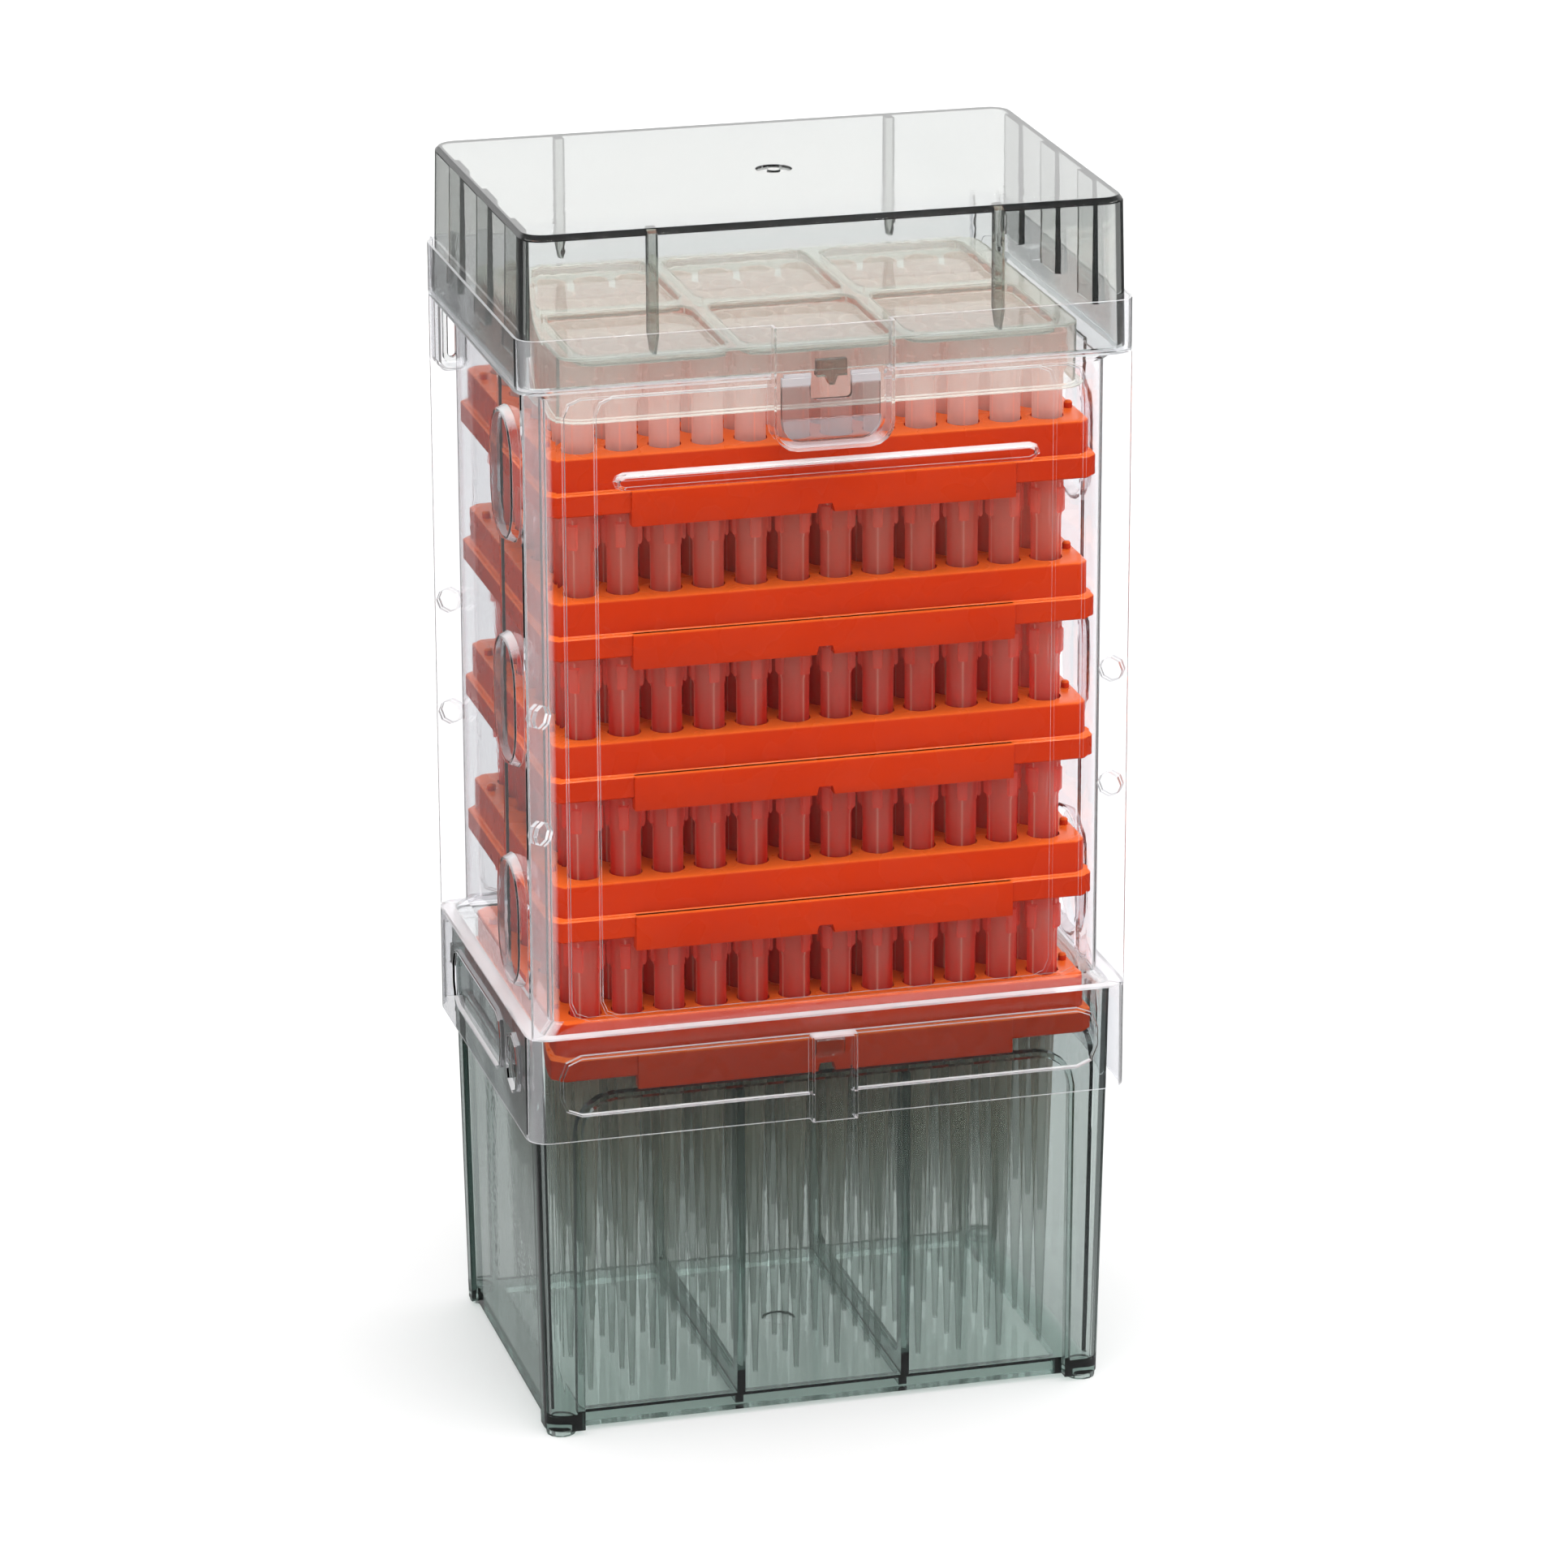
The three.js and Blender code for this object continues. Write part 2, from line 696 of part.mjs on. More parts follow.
// The room that the sheet wraps, drawn in by inset: the sleeve is the form less the same form drawn in.
function sleeveForm(inset) {
  const open = inset > 0 ? CUT : 0;
  const outline = (x, y, r) => roundedOutline(x - inset, y - inset, r - inset);
  const waistFoot = skirtTop + SLEEVE.shoulder;
  const waistHead = collarLedge - SLEEVE.sheet - SLEEVE.shoulder;
  const nearX = outerX - SLEEVE.ledge - inset;
  const nearY = outerY - SLEEVE.ledge * 0.7 - inset;
  const main = join([
    prism(outline(outerX, outerY, SLEEVE.cornerOuter), skirtFoot - open, skirtTop - inset),
    slope(nearX, nearY, waistX - inset, waistY - inset, SLEEVE.cornerWaist - inset,
      skirtTop - inset - 0.01, waistFoot - inset),
    prism(outline(waistX, waistY, SLEEVE.cornerWaist), skirtTop - CUT, collarLedge + CUT),
    slope(waistX - inset, waistY - inset, nearX, nearY, SLEEVE.cornerWaist - inset,
      waistHead + inset, collarLedge - SLEEVE.sheet + inset + 0.01),
    prism(
      outline(outerX, outerY, SLEEVE.cornerOuter),
      collarLedge - SLEEVE.sheet + inset,
      collarTop + open,
    ),
  ]);
  const whole = main.add(join(sleeveBulges(inset)));
  // the long sunk panels of the skirt, cut deeper by the inset, and the snaps beside them
  const height = SLEEVE.panelHeight + 2 * inset;
  const centreZ = skirtTop - SLEEVE.panelFromTop - SLEEVE.panelHeight / 2;
  const radius = SLEEVE.panelRadius + inset;
  const sunk = bothEnds([
    upright(
      pill(SLEEVE.panelHalf + inset, height, centreZ, radius),
      -pocketY - CUT,
      -outerY + SLEEVE.panelIn + inset,
    ),
  ]);
  const sideHalf = (SLEEVE.sidePanelTo - SLEEVE.sidePanelFrom) / 2;
  const sidePanel = pill(
    sideHalf + inset,
    height,
    centreZ,
    radius,
    1,
    SLEEVE.sidePanelFrom + sideHalf,
  );
  const snapHalf = SLEEVE.snapInHalf + inset;
  const snap = pill(snapHalf, height, centreZ, snapHalf - 0.05, 1, SLEEVE.snapInAt);
  for (const [outline, depth] of [[sidePanel, SLEEVE.panelIn], [snap, SLEEVE.snapInDepth]]) {
    sunk.push(sideways(outline, -outerX - CUT, -outerX + depth + inset));
    sunk.push(sideways(outline, outerX - depth - inset, outerX + CUT));
  }
  const keep = sleeveBulges(inset).slice(-3);
  return cut(whole, sunk).add(join(keep));
}

function cornerFins() {
  const fins = [];
  const z0 = skirtTop - SLEEVE.sheet / 2;
  const z1 = collarLedge - SLEEVE.sheet / 2;
  const from = new THREE.Vector2(waistX - 1.2, waistY - 1.2);
  const to = new THREE.Vector2(outerX - 0.9, outerY - 0.9);
  const along = to.clone().sub(from);
  const angle = along.angle();
  const middle = (z0 + z1) / 2 - 12;
  for (const [sx, sy] of [[-1, -1], [1, -1], [1, 1], [-1, 1]]) {
    const turn = sx * sy > 0 ? angle : -angle;
    const centre = from.clone().add(to).multiplyScalar(0.5);
    const place = (geometry) => geometry.rotateZ(turn).translate(sx * centre.x, sy * centre.y, 0);
    const halfLength = along.length() / 2;
    fins.push(place(box(-halfLength, halfLength, -SLEEVE.sheet / 2, SLEEVE.sheet / 2, z0, z1)));
    for (const step of [-0.5, 0.5]) {
      const snap = new THREE.CylinderGeometry(
        SLEEVE.snapRadius,
        SLEEVE.snapRadius,
        SLEEVE.sheet + 2 * SLEEVE.snapProud,
        8,
      );
      fins.push(place(snap.translate(0, 0, middle + step * SLEEVE.snapPitch)));
    }
  }
  return fins;
}

function sleeveBody() {
  const sheet = sleeveForm(0).subtract(sleeveForm(SLEEVE.sheet));
  const fins = join(cornerFins()).subtract(sleeveForm(SLEEVE.sheet));
  return sheet.add(fins);
}

// ---------------------------------------------------------------- cover tray

function trayBody() {
  const x = gridHalfX + TIP.shank / 2 + TRAY.headPlayX + TRAY.sheet;
  const y = gridHalfY + TIP.shank / 2 + TRAY.headPlayY + TRAY.sheet;
  const cellX = (2 * (x - TRAY.borderX) - (TRAY.columns - 1) * TRAY.rib) / TRAY.columns;
  const cellY = (2 * (y - TRAY.borderY) - (TRAY.rows - 1) * TRAY.rib) / TRAY.rows;
  const pockets = (grow, z0) => {
    const all = [];
    for (let i = 0; i < TRAY.columns; i++) {
      for (let j = 0; j < TRAY.rows; j++) {
        const cx = (i - (TRAY.columns - 1) / 2) * (cellX + TRAY.rib);
        const cy = (j - (TRAY.rows - 1) / 2) * (cellY + TRAY.rib);
        const outline = roundedOutline(cellX / 2 + grow, cellY / 2 + grow, TRAY.corner + grow);
        all.push(prism(outline, z0, trayTop + CUT, 0, 1).translate(cx, cy, 0));
      }
    }
    return all;
  };
  const flange = roundedOutline(x + TRAY.flange, y + TRAY.flange, TRAY.corner + 1 + TRAY.flange);
  const outer = join([
    prism(roundedOutline(x, y, TRAY.corner + 1), trayFoot, trayTop),
    prism(flange, trayFoot, trayFoot + TRAY.sheet),
  ]);
  const inner = solid(
    prism(
      roundedOutline(x - TRAY.sheet, y - TRAY.sheet, TRAY.corner),
      trayFoot - CUT,
      trayTop - TRAY.sheet,
    ),
  );
  const room = cut(inner, pockets(TRAY.sheet, trayFloor));
  return cut(outer.subtract(room), pockets(0, trayFloor + TRAY.sheet));
}

// ---------------------------------------------------------------- lid

function lidFin(x) {
  const z0 = lidFoot + LID.finAboveRim;
  const z1 = lidTop - LID.roof + CUT / 2;
  const outline = new THREE.Shape();
  outline.moveTo(x - LID.finFoot / 2, z0);
  outline.lineTo(x + LID.finFoot / 2, z0);
  outline.lineTo(x + LID.finTop / 2, z0 + 4);
  outline.lineTo(x + LID.finTop / 2, z1);
  outline.lineTo(x - LID.finTop / 2, z1);
  outline.lineTo(x - LID.finTop / 2, z0 + 4);
  const face = lidY - LID.draft - LID.wall;
  return upright(outline, -face - LID.wall / 2, -face + LID.finProud);
}

function lidBar(y) {
  const face = lidX - LID.draft - LID.wall;
  return box(
    face - LID.barThick,
    face + LID.wall / 2,
    y - LID.barWidth / 2,
    y + LID.barWidth / 2,
    lidFoot + LID.barAboveRim,
    lidTop - LID.roof + CUT / 2,
  );
}

function catchBlock() {
  const top = lidFoot + LID.blockHeight - LID.blockBelow;
  const foot = lidFoot - LID.blockBelow;
  const outline = new THREE.Shape();
  outline.moveTo(-LID.blockHalf, top);
  outline.lineTo(-LID.blockHalf, foot);
  outline.lineTo(-1.2, foot);
  outline.lineTo(-0.5, foot - LID.wedge);
  outline.lineTo(0.5, foot - LID.wedge);
  outline.lineTo(1.2, foot);
  outline.lineTo(LID.blockHalf, foot);
  outline.lineTo(LID.blockHalf, top);
  return upright(outline, -lidY - LID.blockProud, -lidY + LID.wall / 2);
}

// A hinge leg is a narrow loop below the back of the rim.
function hingeLeg(side) {
  const x = side * (lidX - LID.corner);
  const foot = lidFoot - LID.legLength;
  const frame = roundedOutline(LID.legHalf, (LID.legLength + 3) / 2, 1.2);
  const hole = roundedOutline(
    LID.legHalf - LID.legFrame,
    (LID.legLength - 2) / 2,
    LID.legHalf - LID.legFrame - 0.05,
  );
  const z = foot + (LID.legLength + 3) / 2;
  const y0 = lidY - LID.wall;
  const y1 = lidY - LID.wall + LID.legThick;
  const body = upright(shifted(frame, x, z), y0, y1);
  const window = upright(shifted(hole, x, foot + 1 + (LID.legLength - 2) / 2), y0 - CUT, y1 + CUT);
  return solid(body).subtract(solid(window));
}

function lidBody() {
  const foot = roundedOutline(lidX, lidY, LID.corner);
  const inner = roundedOutline(lidX - LID.wall, lidY - LID.wall, LID.corner - LID.wall);
  const roofEdge = 1;
  const outside = join([
    prism(foot, lidFoot, lidTop - roofEdge, -LID.draft),
    slope(
      lidX - LID.draft,
      lidY - LID.draft,
      lidX - LID.draft - 0.7,
      lidY - LID.draft - 0.7,
      LID.corner,
      lidTop - roofEdge - 0.01,
      lidTop,
    ),
  ]);
  const inside = prism(inner, lidFoot - 0.01, lidTop - LID.roof, -LID.draft);
  const bars = [];
  for (const step of [-1, 0, 1]) bars.push(lidBar(step * LID.barPitch + LID.barShift));
  const shell = cut(outside, [inside]);
  const legs = hingeLeg(-1).add(hingeLeg(1));
  const whole = shell
    .add(join([...bothEnds([lidFin(-LID.finAt), lidFin(LID.finAt), ...bars]), catchBlock()]))
    .add(legs);
  return cut(whole, [
    upCylinder(LID.gateRadius, LID.gateRadius - 0.5, 0, 0, lidTop - LID.gateDepth, lidTop + CUT, 14),
  ]).add(
    solid(
      upCylinder(LID.gatePin - 0.3, LID.gatePin, 0, 0, lidTop - LID.gateDepth - 0.2, lidTop - 0.1, 8),
    ),
  );
}

// The latch tab hangs from its two film hinges, in front of the rim.
function latchBody() {
  const top = -SEAT;
  const foot = -LATCH.length;
  const y0 = -LATCH.thick / 2;
  const outline = new THREE.Shape();
  const r = LATCH.corner;
  outline.moveTo(-LATCH.half + r, foot);
  outline.lineTo(LATCH.half - r, foot);
  outline.absarc(LATCH.half - r, foot + r, r, -Math.PI / 2, 0);
  outline.lineTo(LATCH.half, top - 0.8);
  outline.lineTo(LATCH.notchHalf, top - 0.8);
  outline.lineTo(LATCH.notchHalf, top - LATCH.notchDepth + 1);
  outline.absarc(LATCH.notchHalf - 1, top - LATCH.notchDepth + 1, 1, 0, -Math.PI / 2, true);
  outline.lineTo(-LATCH.notchHalf + 1, top - LATCH.notchDepth);
  outline.absarc(-LATCH.notchHalf + 1, top - LATCH.notchDepth + 1, 1, -Math.PI / 2, -Math.PI, true);
  outline.lineTo(-LATCH.notchHalf, top - 0.8);
  outline.lineTo(-LATCH.half, top - 0.8);
  outline.lineTo(-LATCH.half, foot + r);
  outline.absarc(-LATCH.half + r, foot + r, r, Math.PI, 1.5 * Math.PI);
  const tab = upright(outline, y0, -y0);
  const lipOutline = new THREE.Shape();
  lipOutline.moveTo(-LATCH.half + r, foot);
  lipOutline.lineTo(LATCH.half - r, foot);
  lipOutline.absarc(LATCH.half - r, foot + r, r, -Math.PI / 2, 0);
  lipOutline.lineTo(LATCH.half, foot + LATCH.lip);
  lipOutline.lineTo(-LATCH.half, foot + LATCH.lip);
  lipOutline.lineTo(-LATCH.half, foot + r);
  lipOutline.absarc(-LATCH.half + r, foot + r, r, Math.PI, 1.5 * Math.PI);
  const edge = upright(lipOutline, y0 - LATCH.lipThick, 0);
  const films = [-1, 1].map((side) =>
    box(
      side * LATCH.barAt - LATCH.barHalf,
      side * LATCH.barAt + LATCH.barHalf,
      -LATCH.film,
      LATCH.film / 2,
      top - CUT,
      top,
    ),
  );
  return join([tab, edge, ...films]);
}

// ---------------------------------------------------------------- materials and assembly

function plastic(color, roughness, opacity) {
  return new THREE.MeshStandardMaterial({
    color,
    roughness,
    metalness: 0,
    transparent: opacity < 1,
    opacity,
  });
}

const smoke = () => plastic(0x8f9c98, 0.12, 0.5);
const clear = () => plastic(0xe9eef2, 0.08, 0.25);
const orange = () => plastic(0xd2420f, 0.45, 1);

const tower = new THREE.Group();
tower.name = "pipette_tip_tower";
tower.add(meshOf("base", baseBody(), smoke()));
tower.add(meshOf("sleeve", sleeveBody(), clear()));
for (let i = 0; i < RACK.count; i++) {
  const rack = meshOf("rack_" + (i + 1), rackBody(i === RACK.count - 1), orange());
  rack.position.z = rackTop(i);
  tower.add(rack);
}
tower.add(meshOf("tip_tray", trayBody(), clear()));
tower.add(meshOf("lid", lidBody(), smoke()));
const latch = meshOf("lid_latch", latchBody(), smoke());
latch.position.set(0, -lidY - LATCH.thick / 2 + 0.2, lidFoot);
tower.add(latch);

export default tower;
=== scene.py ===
import math

import bmesh
import bpy
import numpy as np
from mathutils import Matrix, Vector


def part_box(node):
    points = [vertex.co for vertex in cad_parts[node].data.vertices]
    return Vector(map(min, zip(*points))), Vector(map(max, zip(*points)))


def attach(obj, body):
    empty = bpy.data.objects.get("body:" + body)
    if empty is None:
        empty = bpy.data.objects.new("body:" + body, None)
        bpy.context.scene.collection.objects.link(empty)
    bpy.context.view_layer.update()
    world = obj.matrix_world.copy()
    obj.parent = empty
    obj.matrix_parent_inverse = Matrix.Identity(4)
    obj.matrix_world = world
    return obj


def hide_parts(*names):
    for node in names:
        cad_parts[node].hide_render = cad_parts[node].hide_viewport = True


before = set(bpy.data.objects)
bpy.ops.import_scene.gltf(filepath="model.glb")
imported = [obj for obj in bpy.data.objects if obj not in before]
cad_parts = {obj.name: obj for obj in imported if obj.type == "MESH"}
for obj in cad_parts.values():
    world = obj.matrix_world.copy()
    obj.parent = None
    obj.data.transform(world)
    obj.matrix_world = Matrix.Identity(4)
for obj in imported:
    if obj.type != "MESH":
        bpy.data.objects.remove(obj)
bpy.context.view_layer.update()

MM = 0.001

# ---------------------------------------------------------------- sizes, in millimetres

RACKS = ["rack_%d" % (i + 1) for i in range(5)]
WHOLE_TIPS = RACKS[3:]  # the tips of the others end inside the tips below
PITCH = 9.0
COLUMNS, ROWS = 12, 8

# Heights in a rack are measured up from its deck, the top face that the tips stand in.
BLOCK = 7.1
BAND = 4.7
BAND_PROUD = 1.3
CHAMFER = 2.2
EDGE_ROUND = 0.3
CORNER_SOFT = 0.35
FILLET = 0.25  # where the block meets the band
HOLE_RADIUS = 3.5
HOLE_SIDES = 16
LIP_HALF = 40.5
LIP_DROP = 2.8
LIP_PROUD = 0.6
LIP_THICK = 2.4
LIP_ROUND = 0.28
NOTCH_HALF = 1.7
NOTCH_HEIGHT = 2.2
STUD_X, STUD_Y = 55.4, 27.0
STUD_SIDES = 12
STUD_PROFILE = [(0.9, -0.2), (0.9, 1.1), (0.6, 1.5), (0.02, 1.6)]

# Profiles are (radius, height) from the mouth of a tip down.
HEAD = 18.2
TIP_LENGTH = 103.0
TIP_END = HEAD - TIP_LENGTH
TIP_SIDES = 16
TIP_BARREL = [
    (2.62, HEAD - 4.0), (2.95, HEAD), (3.6, HEAD), (3.75, HEAD - 0.25), (3.62, 16.2), (3.6, 11.3),
    (3.42, 10.9), (3.36, 9.4), (3.2, 9.0), (3.18, -11.4), (2.62, -12.4),
]
TIP_POINT = [(1.44, TIP_END + 31.0), (0.72, TIP_END + 7.0), (0.52, TIP_END)]
CUT_HEIGHT = -31.5
TIP_TAPER = 0.0286
TIP_CUT = [(0.52 + (CUT_HEIGHT - TIP_END) * TIP_TAPER, CUT_HEIGHT)]
WINGS = 4
WING = [  # (radius, half width, height)
    (3.35, 1.15, 15.6), (4.1, 1.0, 15.2), (4.1, 0.95, 10.6), (3.75, 0.9, 10.1), (3.3, 1.0, 10.4),
]
WING_RIB = 0.6

# The places of what is darker than the walls it stands on, or rounder than the other edges.
BASE_FRAME_X, BASE_FRAME_DEPTH = 18.0, 38.3
LID_FIN_X, LID_FIN_DEPTH = 36.0, 38.0
CATCH_Y, CATCH_HALF, CATCH_TOP = -44.1, 5.0, 240.0
BEAD_Y = 43.8  # the bead across the front and the back of the sleeve
BEAD_Z = (206.0, 210.6)
BEAD_ROUND = 1.05

far_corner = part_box(RACKS[0])[1]
BAND_X = far_corner.x / MM
BAND_Y = far_corner.y / MM - LIP_PROUD
BLOCK_X = BAND_X - BAND_PROUD
BLOCK_Y = BAND_Y - BAND_PROUD


def deck(rack):
    """The height of a rack's deck over the floor."""
    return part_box(rack)[1].z / MM - HEAD


# ---------------------------------------------------------------- node helpers

FRONT = Vector((0.25, -0.97, 0.0))


class Nodes:
    """A short way to write the nodes of a material or of the world."""

    def __init__(self, owner, output):
        owner.use_nodes = True
        self.owner = owner
        self.tree = owner.node_tree
        self.tree.nodes.clear()
        self.output = self.tree.nodes.new(output)

    def add(self, kind, **settings):
        node = self.tree.nodes.new(kind)
        for key, value in settings.items():
            setattr(node, key, value)
        return node

    def link(self, source, target):
        self.tree.links.new(source, target)

    def put(self, value, socket):
        """Sets a socket to a number, or links it."""
        if isinstance(value, (int, float)):
            socket.default_value = value
        else:
            self.link(value, socket)

    def math(self, operation, a, b=0.0, clamp=False):
        node = self.add("ShaderNodeMath", operation=operation, use_clamp=clamp)
        self.put(a, node.inputs[0])
        self.put(b, node.inputs[1])
        return node.outputs[0]

    def range(self, value, from_low, from_high, to_low, to_high, kind="LINEAR"):
        node = self.add("ShaderNodeMapRange", interpolation_type=kind)
        self.link(value, node.inputs["Value"])
        node.inputs["From Min"].default_value = from_low
        node.inputs["From Max"].default_value = from_high
        node.inputs["To Min"].default_value = to_low
        node.inputs["To Max"].default_value = to_high
        return node.outputs["Result"]

    def within(self, value, low, high, soft):
        """1 between two values, falling to nothing a little past each."""
        rising = self.range(value, low - soft, low + soft, 0, 1)
        falling = self.range(value, high - soft, high + soft, 1, 0)
        return self.math("MULTIPLY", rising, falling)

    def split(self, vector):
        node = self.add("ShaderNodeSeparateXYZ")
        self.link(vector, node.inputs[0])
        return node.outputs

    def coordinate(self, kind):
        return self.add("ShaderNodeTexCoord").outputs[kind]

    def geometry(self, kind):
        return self.add("ShaderNodeNewGeometry").outputs[kind]

    def noise(self, scale, detail, stretch=(1, 1, 1)):
        mapping = self.add("ShaderNodeMapping")
        mapping.inputs["Scale"].default_value = stretch
        self.link(self.coordinate("Object"), mapping.inputs["Vector"])
        node = self.add("ShaderNodeTexNoise")
        node.inputs["Scale"].default_value = scale
        node.inputs["Detail"].default_value = detail
        self.link(mapping.outputs["Vector"], node.inputs["Vector"])
        return node.outputs["Fac"]

    def attribute(self, name):
        """A value that the mesh carries."""
        return self.add("ShaderNodeAttribute", attribute_name=name).outputs["Fac"]

    def bump(self, height):
        """Height is in millimetres."""
        node = self.add("ShaderNodeBump")
        node.inputs["Strength"].default_value = 1.0
        node.inputs["Distance"].default_value = MM
        self.link(height, node.inputs["Height"])
        return node.outputs["Normal"]

    def mix_colour(self, share, a, b):
        node = self.add("ShaderNodeMix", data_type="RGBA")
        self.link(share, node.inputs["Factor"])
        for name, value in (("A", a), ("B", b)):
            socket = next(s for s in node.inputs if s.name == name and s.type == "RGBA")
            if isinstance(value, tuple):
                socket.default_value = (*value, 1)
            else:
                self.link(value, socket)
        return next(s for s in node.outputs if s.type == "RGBA")

    def mix_shader(self, share, a, b):
        node = self.add("ShaderNodeMixShader")
        self.put(share, node.inputs[0])
        self.link(a, node.inputs[1])
        self.link(b, node.inputs[2])
        return node.outputs[0]

    def white(self, kind, strength):
        """A white emission or background."""
        node = self.add(kind)
        node.inputs["Color"].default_value = (1, 1, 1, 1)
        self.put(strength, node.inputs["Strength"])
        return node.outputs[0]

    def dot(self, vector, fixed):
        node = self.add("ShaderNodeVectorMath", operation="DOT_PRODUCT")
        self.link(vector, node.inputs[0])
        node.inputs[1].default_value = fixed
        return node.outputs["Value"]

    def beside(self, place):
        """0 in front of the box, where the room is dark, and 1 beside and behind it."""
        ray = self.add("ShaderNodeVectorMath", operation="NORMALIZE")
        self.link(place, ray.inputs[0])
        return self.range(self.dot(ray.outputs["Vector"], FRONT), 0.6, 0.25, 0, 1)

    def first_look(self, path):
        """1 for a ray that comes from the camera straight, or through clear pieces only."""
        unmirrored = self.math("LESS_THAN", path.outputs["Glossy Depth"], 0.5)
        clean = self.math("SUBTRACT", unmirrored, path.outputs["Is Diffuse Ray"], True)
        passed = self.math("MULTIPLY", path.outputs["Is Transmission Ray"], clean)
        return self.math("MAXIMUM", path.outputs["Is Camera Ray"], passed)

    def inner_look(self, path):
        """1 for a ray that has only been inside the nearest clear wall, which gathers light."""
        shallow = self.math("LESS_THAN", path.outputs["Transmission Depth"], 2.5)
        return self.math("MULTIPLY", shallow, path.outputs["Is Transmission Ray"])

    def finish(self, shader):
        self.link(shader, self.output.inputs["Surface"])
        return self.owner


def material_nodes(name):
    return Nodes(bpy.data.materials.new(name), "ShaderNodeOutputMaterial")


def srgb(r, g, b):
    """A colour of 0 to 255 on the screen, as the linear values that shaders take."""
    def linear(c):
        c = c / 255
        return c / 12.92 if c <= 0.04045 else ((c + 0.055) / 1.055) ** 2.4

    return (linear(r), linear(g), linear(b))


# ---------------------------------------------------------------- materials


def clear_plastic(
    name, ior, haze, pass_light, rough, wave, wave_scale, tint=None, density=None,
    highlight_bands=(), ledge_highlight=0.0, skin=(1, 1, 1), deep=None, milk=(0.84, 0.84, 0.86),
):
    """A clear moulding or sheet: glass with a little milky haze.

    It darkens with the length of the way through it, by tint and density, or at each face, by
    skin, which turns to deep where the mesh says shade. Bands between two heights of the piece
    carry a painted highlight, a larger milky share, and so do ledges that face up and, less, the
    upright corners. Light on its way to what is behind passes straight."""
    n = material_nodes(name)
    glass = n.add("ShaderNodeBsdfPrincipled")
    if deep:
        n.link(n.mix_colour(n.attribute("shade"), skin, deep), glass.inputs["Base Color"])
    else:
        glass.inputs["Base Color"].default_value = (*skin, 1)
    glass.inputs["IOR"].default_value = ior
    glass.inputs["Transmission Weight"].default_value = 1.0
    broad = n.noise(wave_scale, 0.0)
    n.link(n.range(broad, 0.35, 0.75, *rough), glass.inputs["Roughness"])
    fine = n.math("MULTIPLY", n.noise(900.0, 0.0), 0.004)
    height = n.math("ADD", n.math("MULTIPLY", broad, wave), fine)
    n.link(n.bump(height), glass.inputs["Normal"])
    haze_and_highlight = n.add("ShaderNodeBsdfPrincipled")
    haze_and_highlight.inputs["Roughness"].default_value = 0.25
    haze_and_highlight.inputs["Base Color"].default_value = (*milk, 1)
    share = n.range(broad, 0.3, 0.7, haze * 0.7, haze * 1.3)
    # Painted highlight: bands between two heights get a larger milky share.
    if highlight_bands:
        tall = n.split(n.coordinate("Generated"))["Z"]
        for low, high, amount in highlight_bands:
            band = n.math("MULTIPLY", n.within(tall, low, high, 0.02), amount)
            share = n.math("MAXIMUM", share, band)
    # Painted highlight: faces that look up, and less the upright corners, get a larger milky
    # share.
    if ledge_highlight:
        facing = n.split(n.geometry("Normal"))
        share = n.math("MAXIMUM", share, n.range(facing["Z"], 0.6, 0.92, 0, ledge_highlight))
        corner = n.math("ABSOLUTE", n.math("MULTIPLY", facing["X"], facing["Y"]))
        share = n.math("MAXIMUM", share, n.range(corner, 0.25, 0.45, 0, ledge_highlight * 0.3))
    surface = n.mix_shader(share, glass.outputs["BSDF"], haze_and_highlight.outputs["BSDF"])
    through = n.add("ShaderNodeBsdfTransparent")
    through.inputs["Color"].default_value = (*pass_light, 1)
    path = n.add("ShaderNodeLightPath")
    onward = n.math("MAXIMUM", path.outputs["Is Shadow Ray"], path.outputs["Is Diffuse Ray"])
    if density:
        absorb = n.add("ShaderNodeVolumeAbsorption")
        absorb.inputs["Color"].default_value = (*tint, 1)
        absorb.inputs["Density"].default_value = density
        n.link(absorb.outputs["Volume"], n.output.inputs["Volume"])
    return n.finish(n.mix_shader(onward, surface, through.outputs["BSDF"]))


def orange_plastic():
    """A satin orange moulding, with painted light: lighter on the faces that look up, as if lit
    from above.
    """
    n = material_nodes("orange_moulding")
    body = n.add("ShaderNodeBsdfPrincipled")
    cloud = n.range(n.noise(35.0, 1.0), 0.3, 0.7, 0, 1)
    colour = n.mix_colour(cloud, srgb(190, 44, 3), srgb(196, 50, 5))
    # Painted light: faces that look up turn a lighter orange, as if lit from above.
    painted_top_light = n.range(n.split(n.geometry("True Normal"))["Z"], 0.2, 0.6, 0, 1)
    colour = n.mix_colour(painted_top_light, colour, srgb(228, 98, 34))
    n.link(colour, body.inputs["Base Color"])
    body.inputs["Specular IOR Level"].default_value = 0.2
    n.link(n.range(n.noise(120.0, 1.0), 0.3, 0.7, 0.22, 0.34), body.inputs["Roughness"])
    n.link(n.bump(n.math("MULTIPLY", n.noise(1400.0, 1.0), 0.02)), body.inputs["Normal"])
    return n.finish(body.outputs["BSDF"])


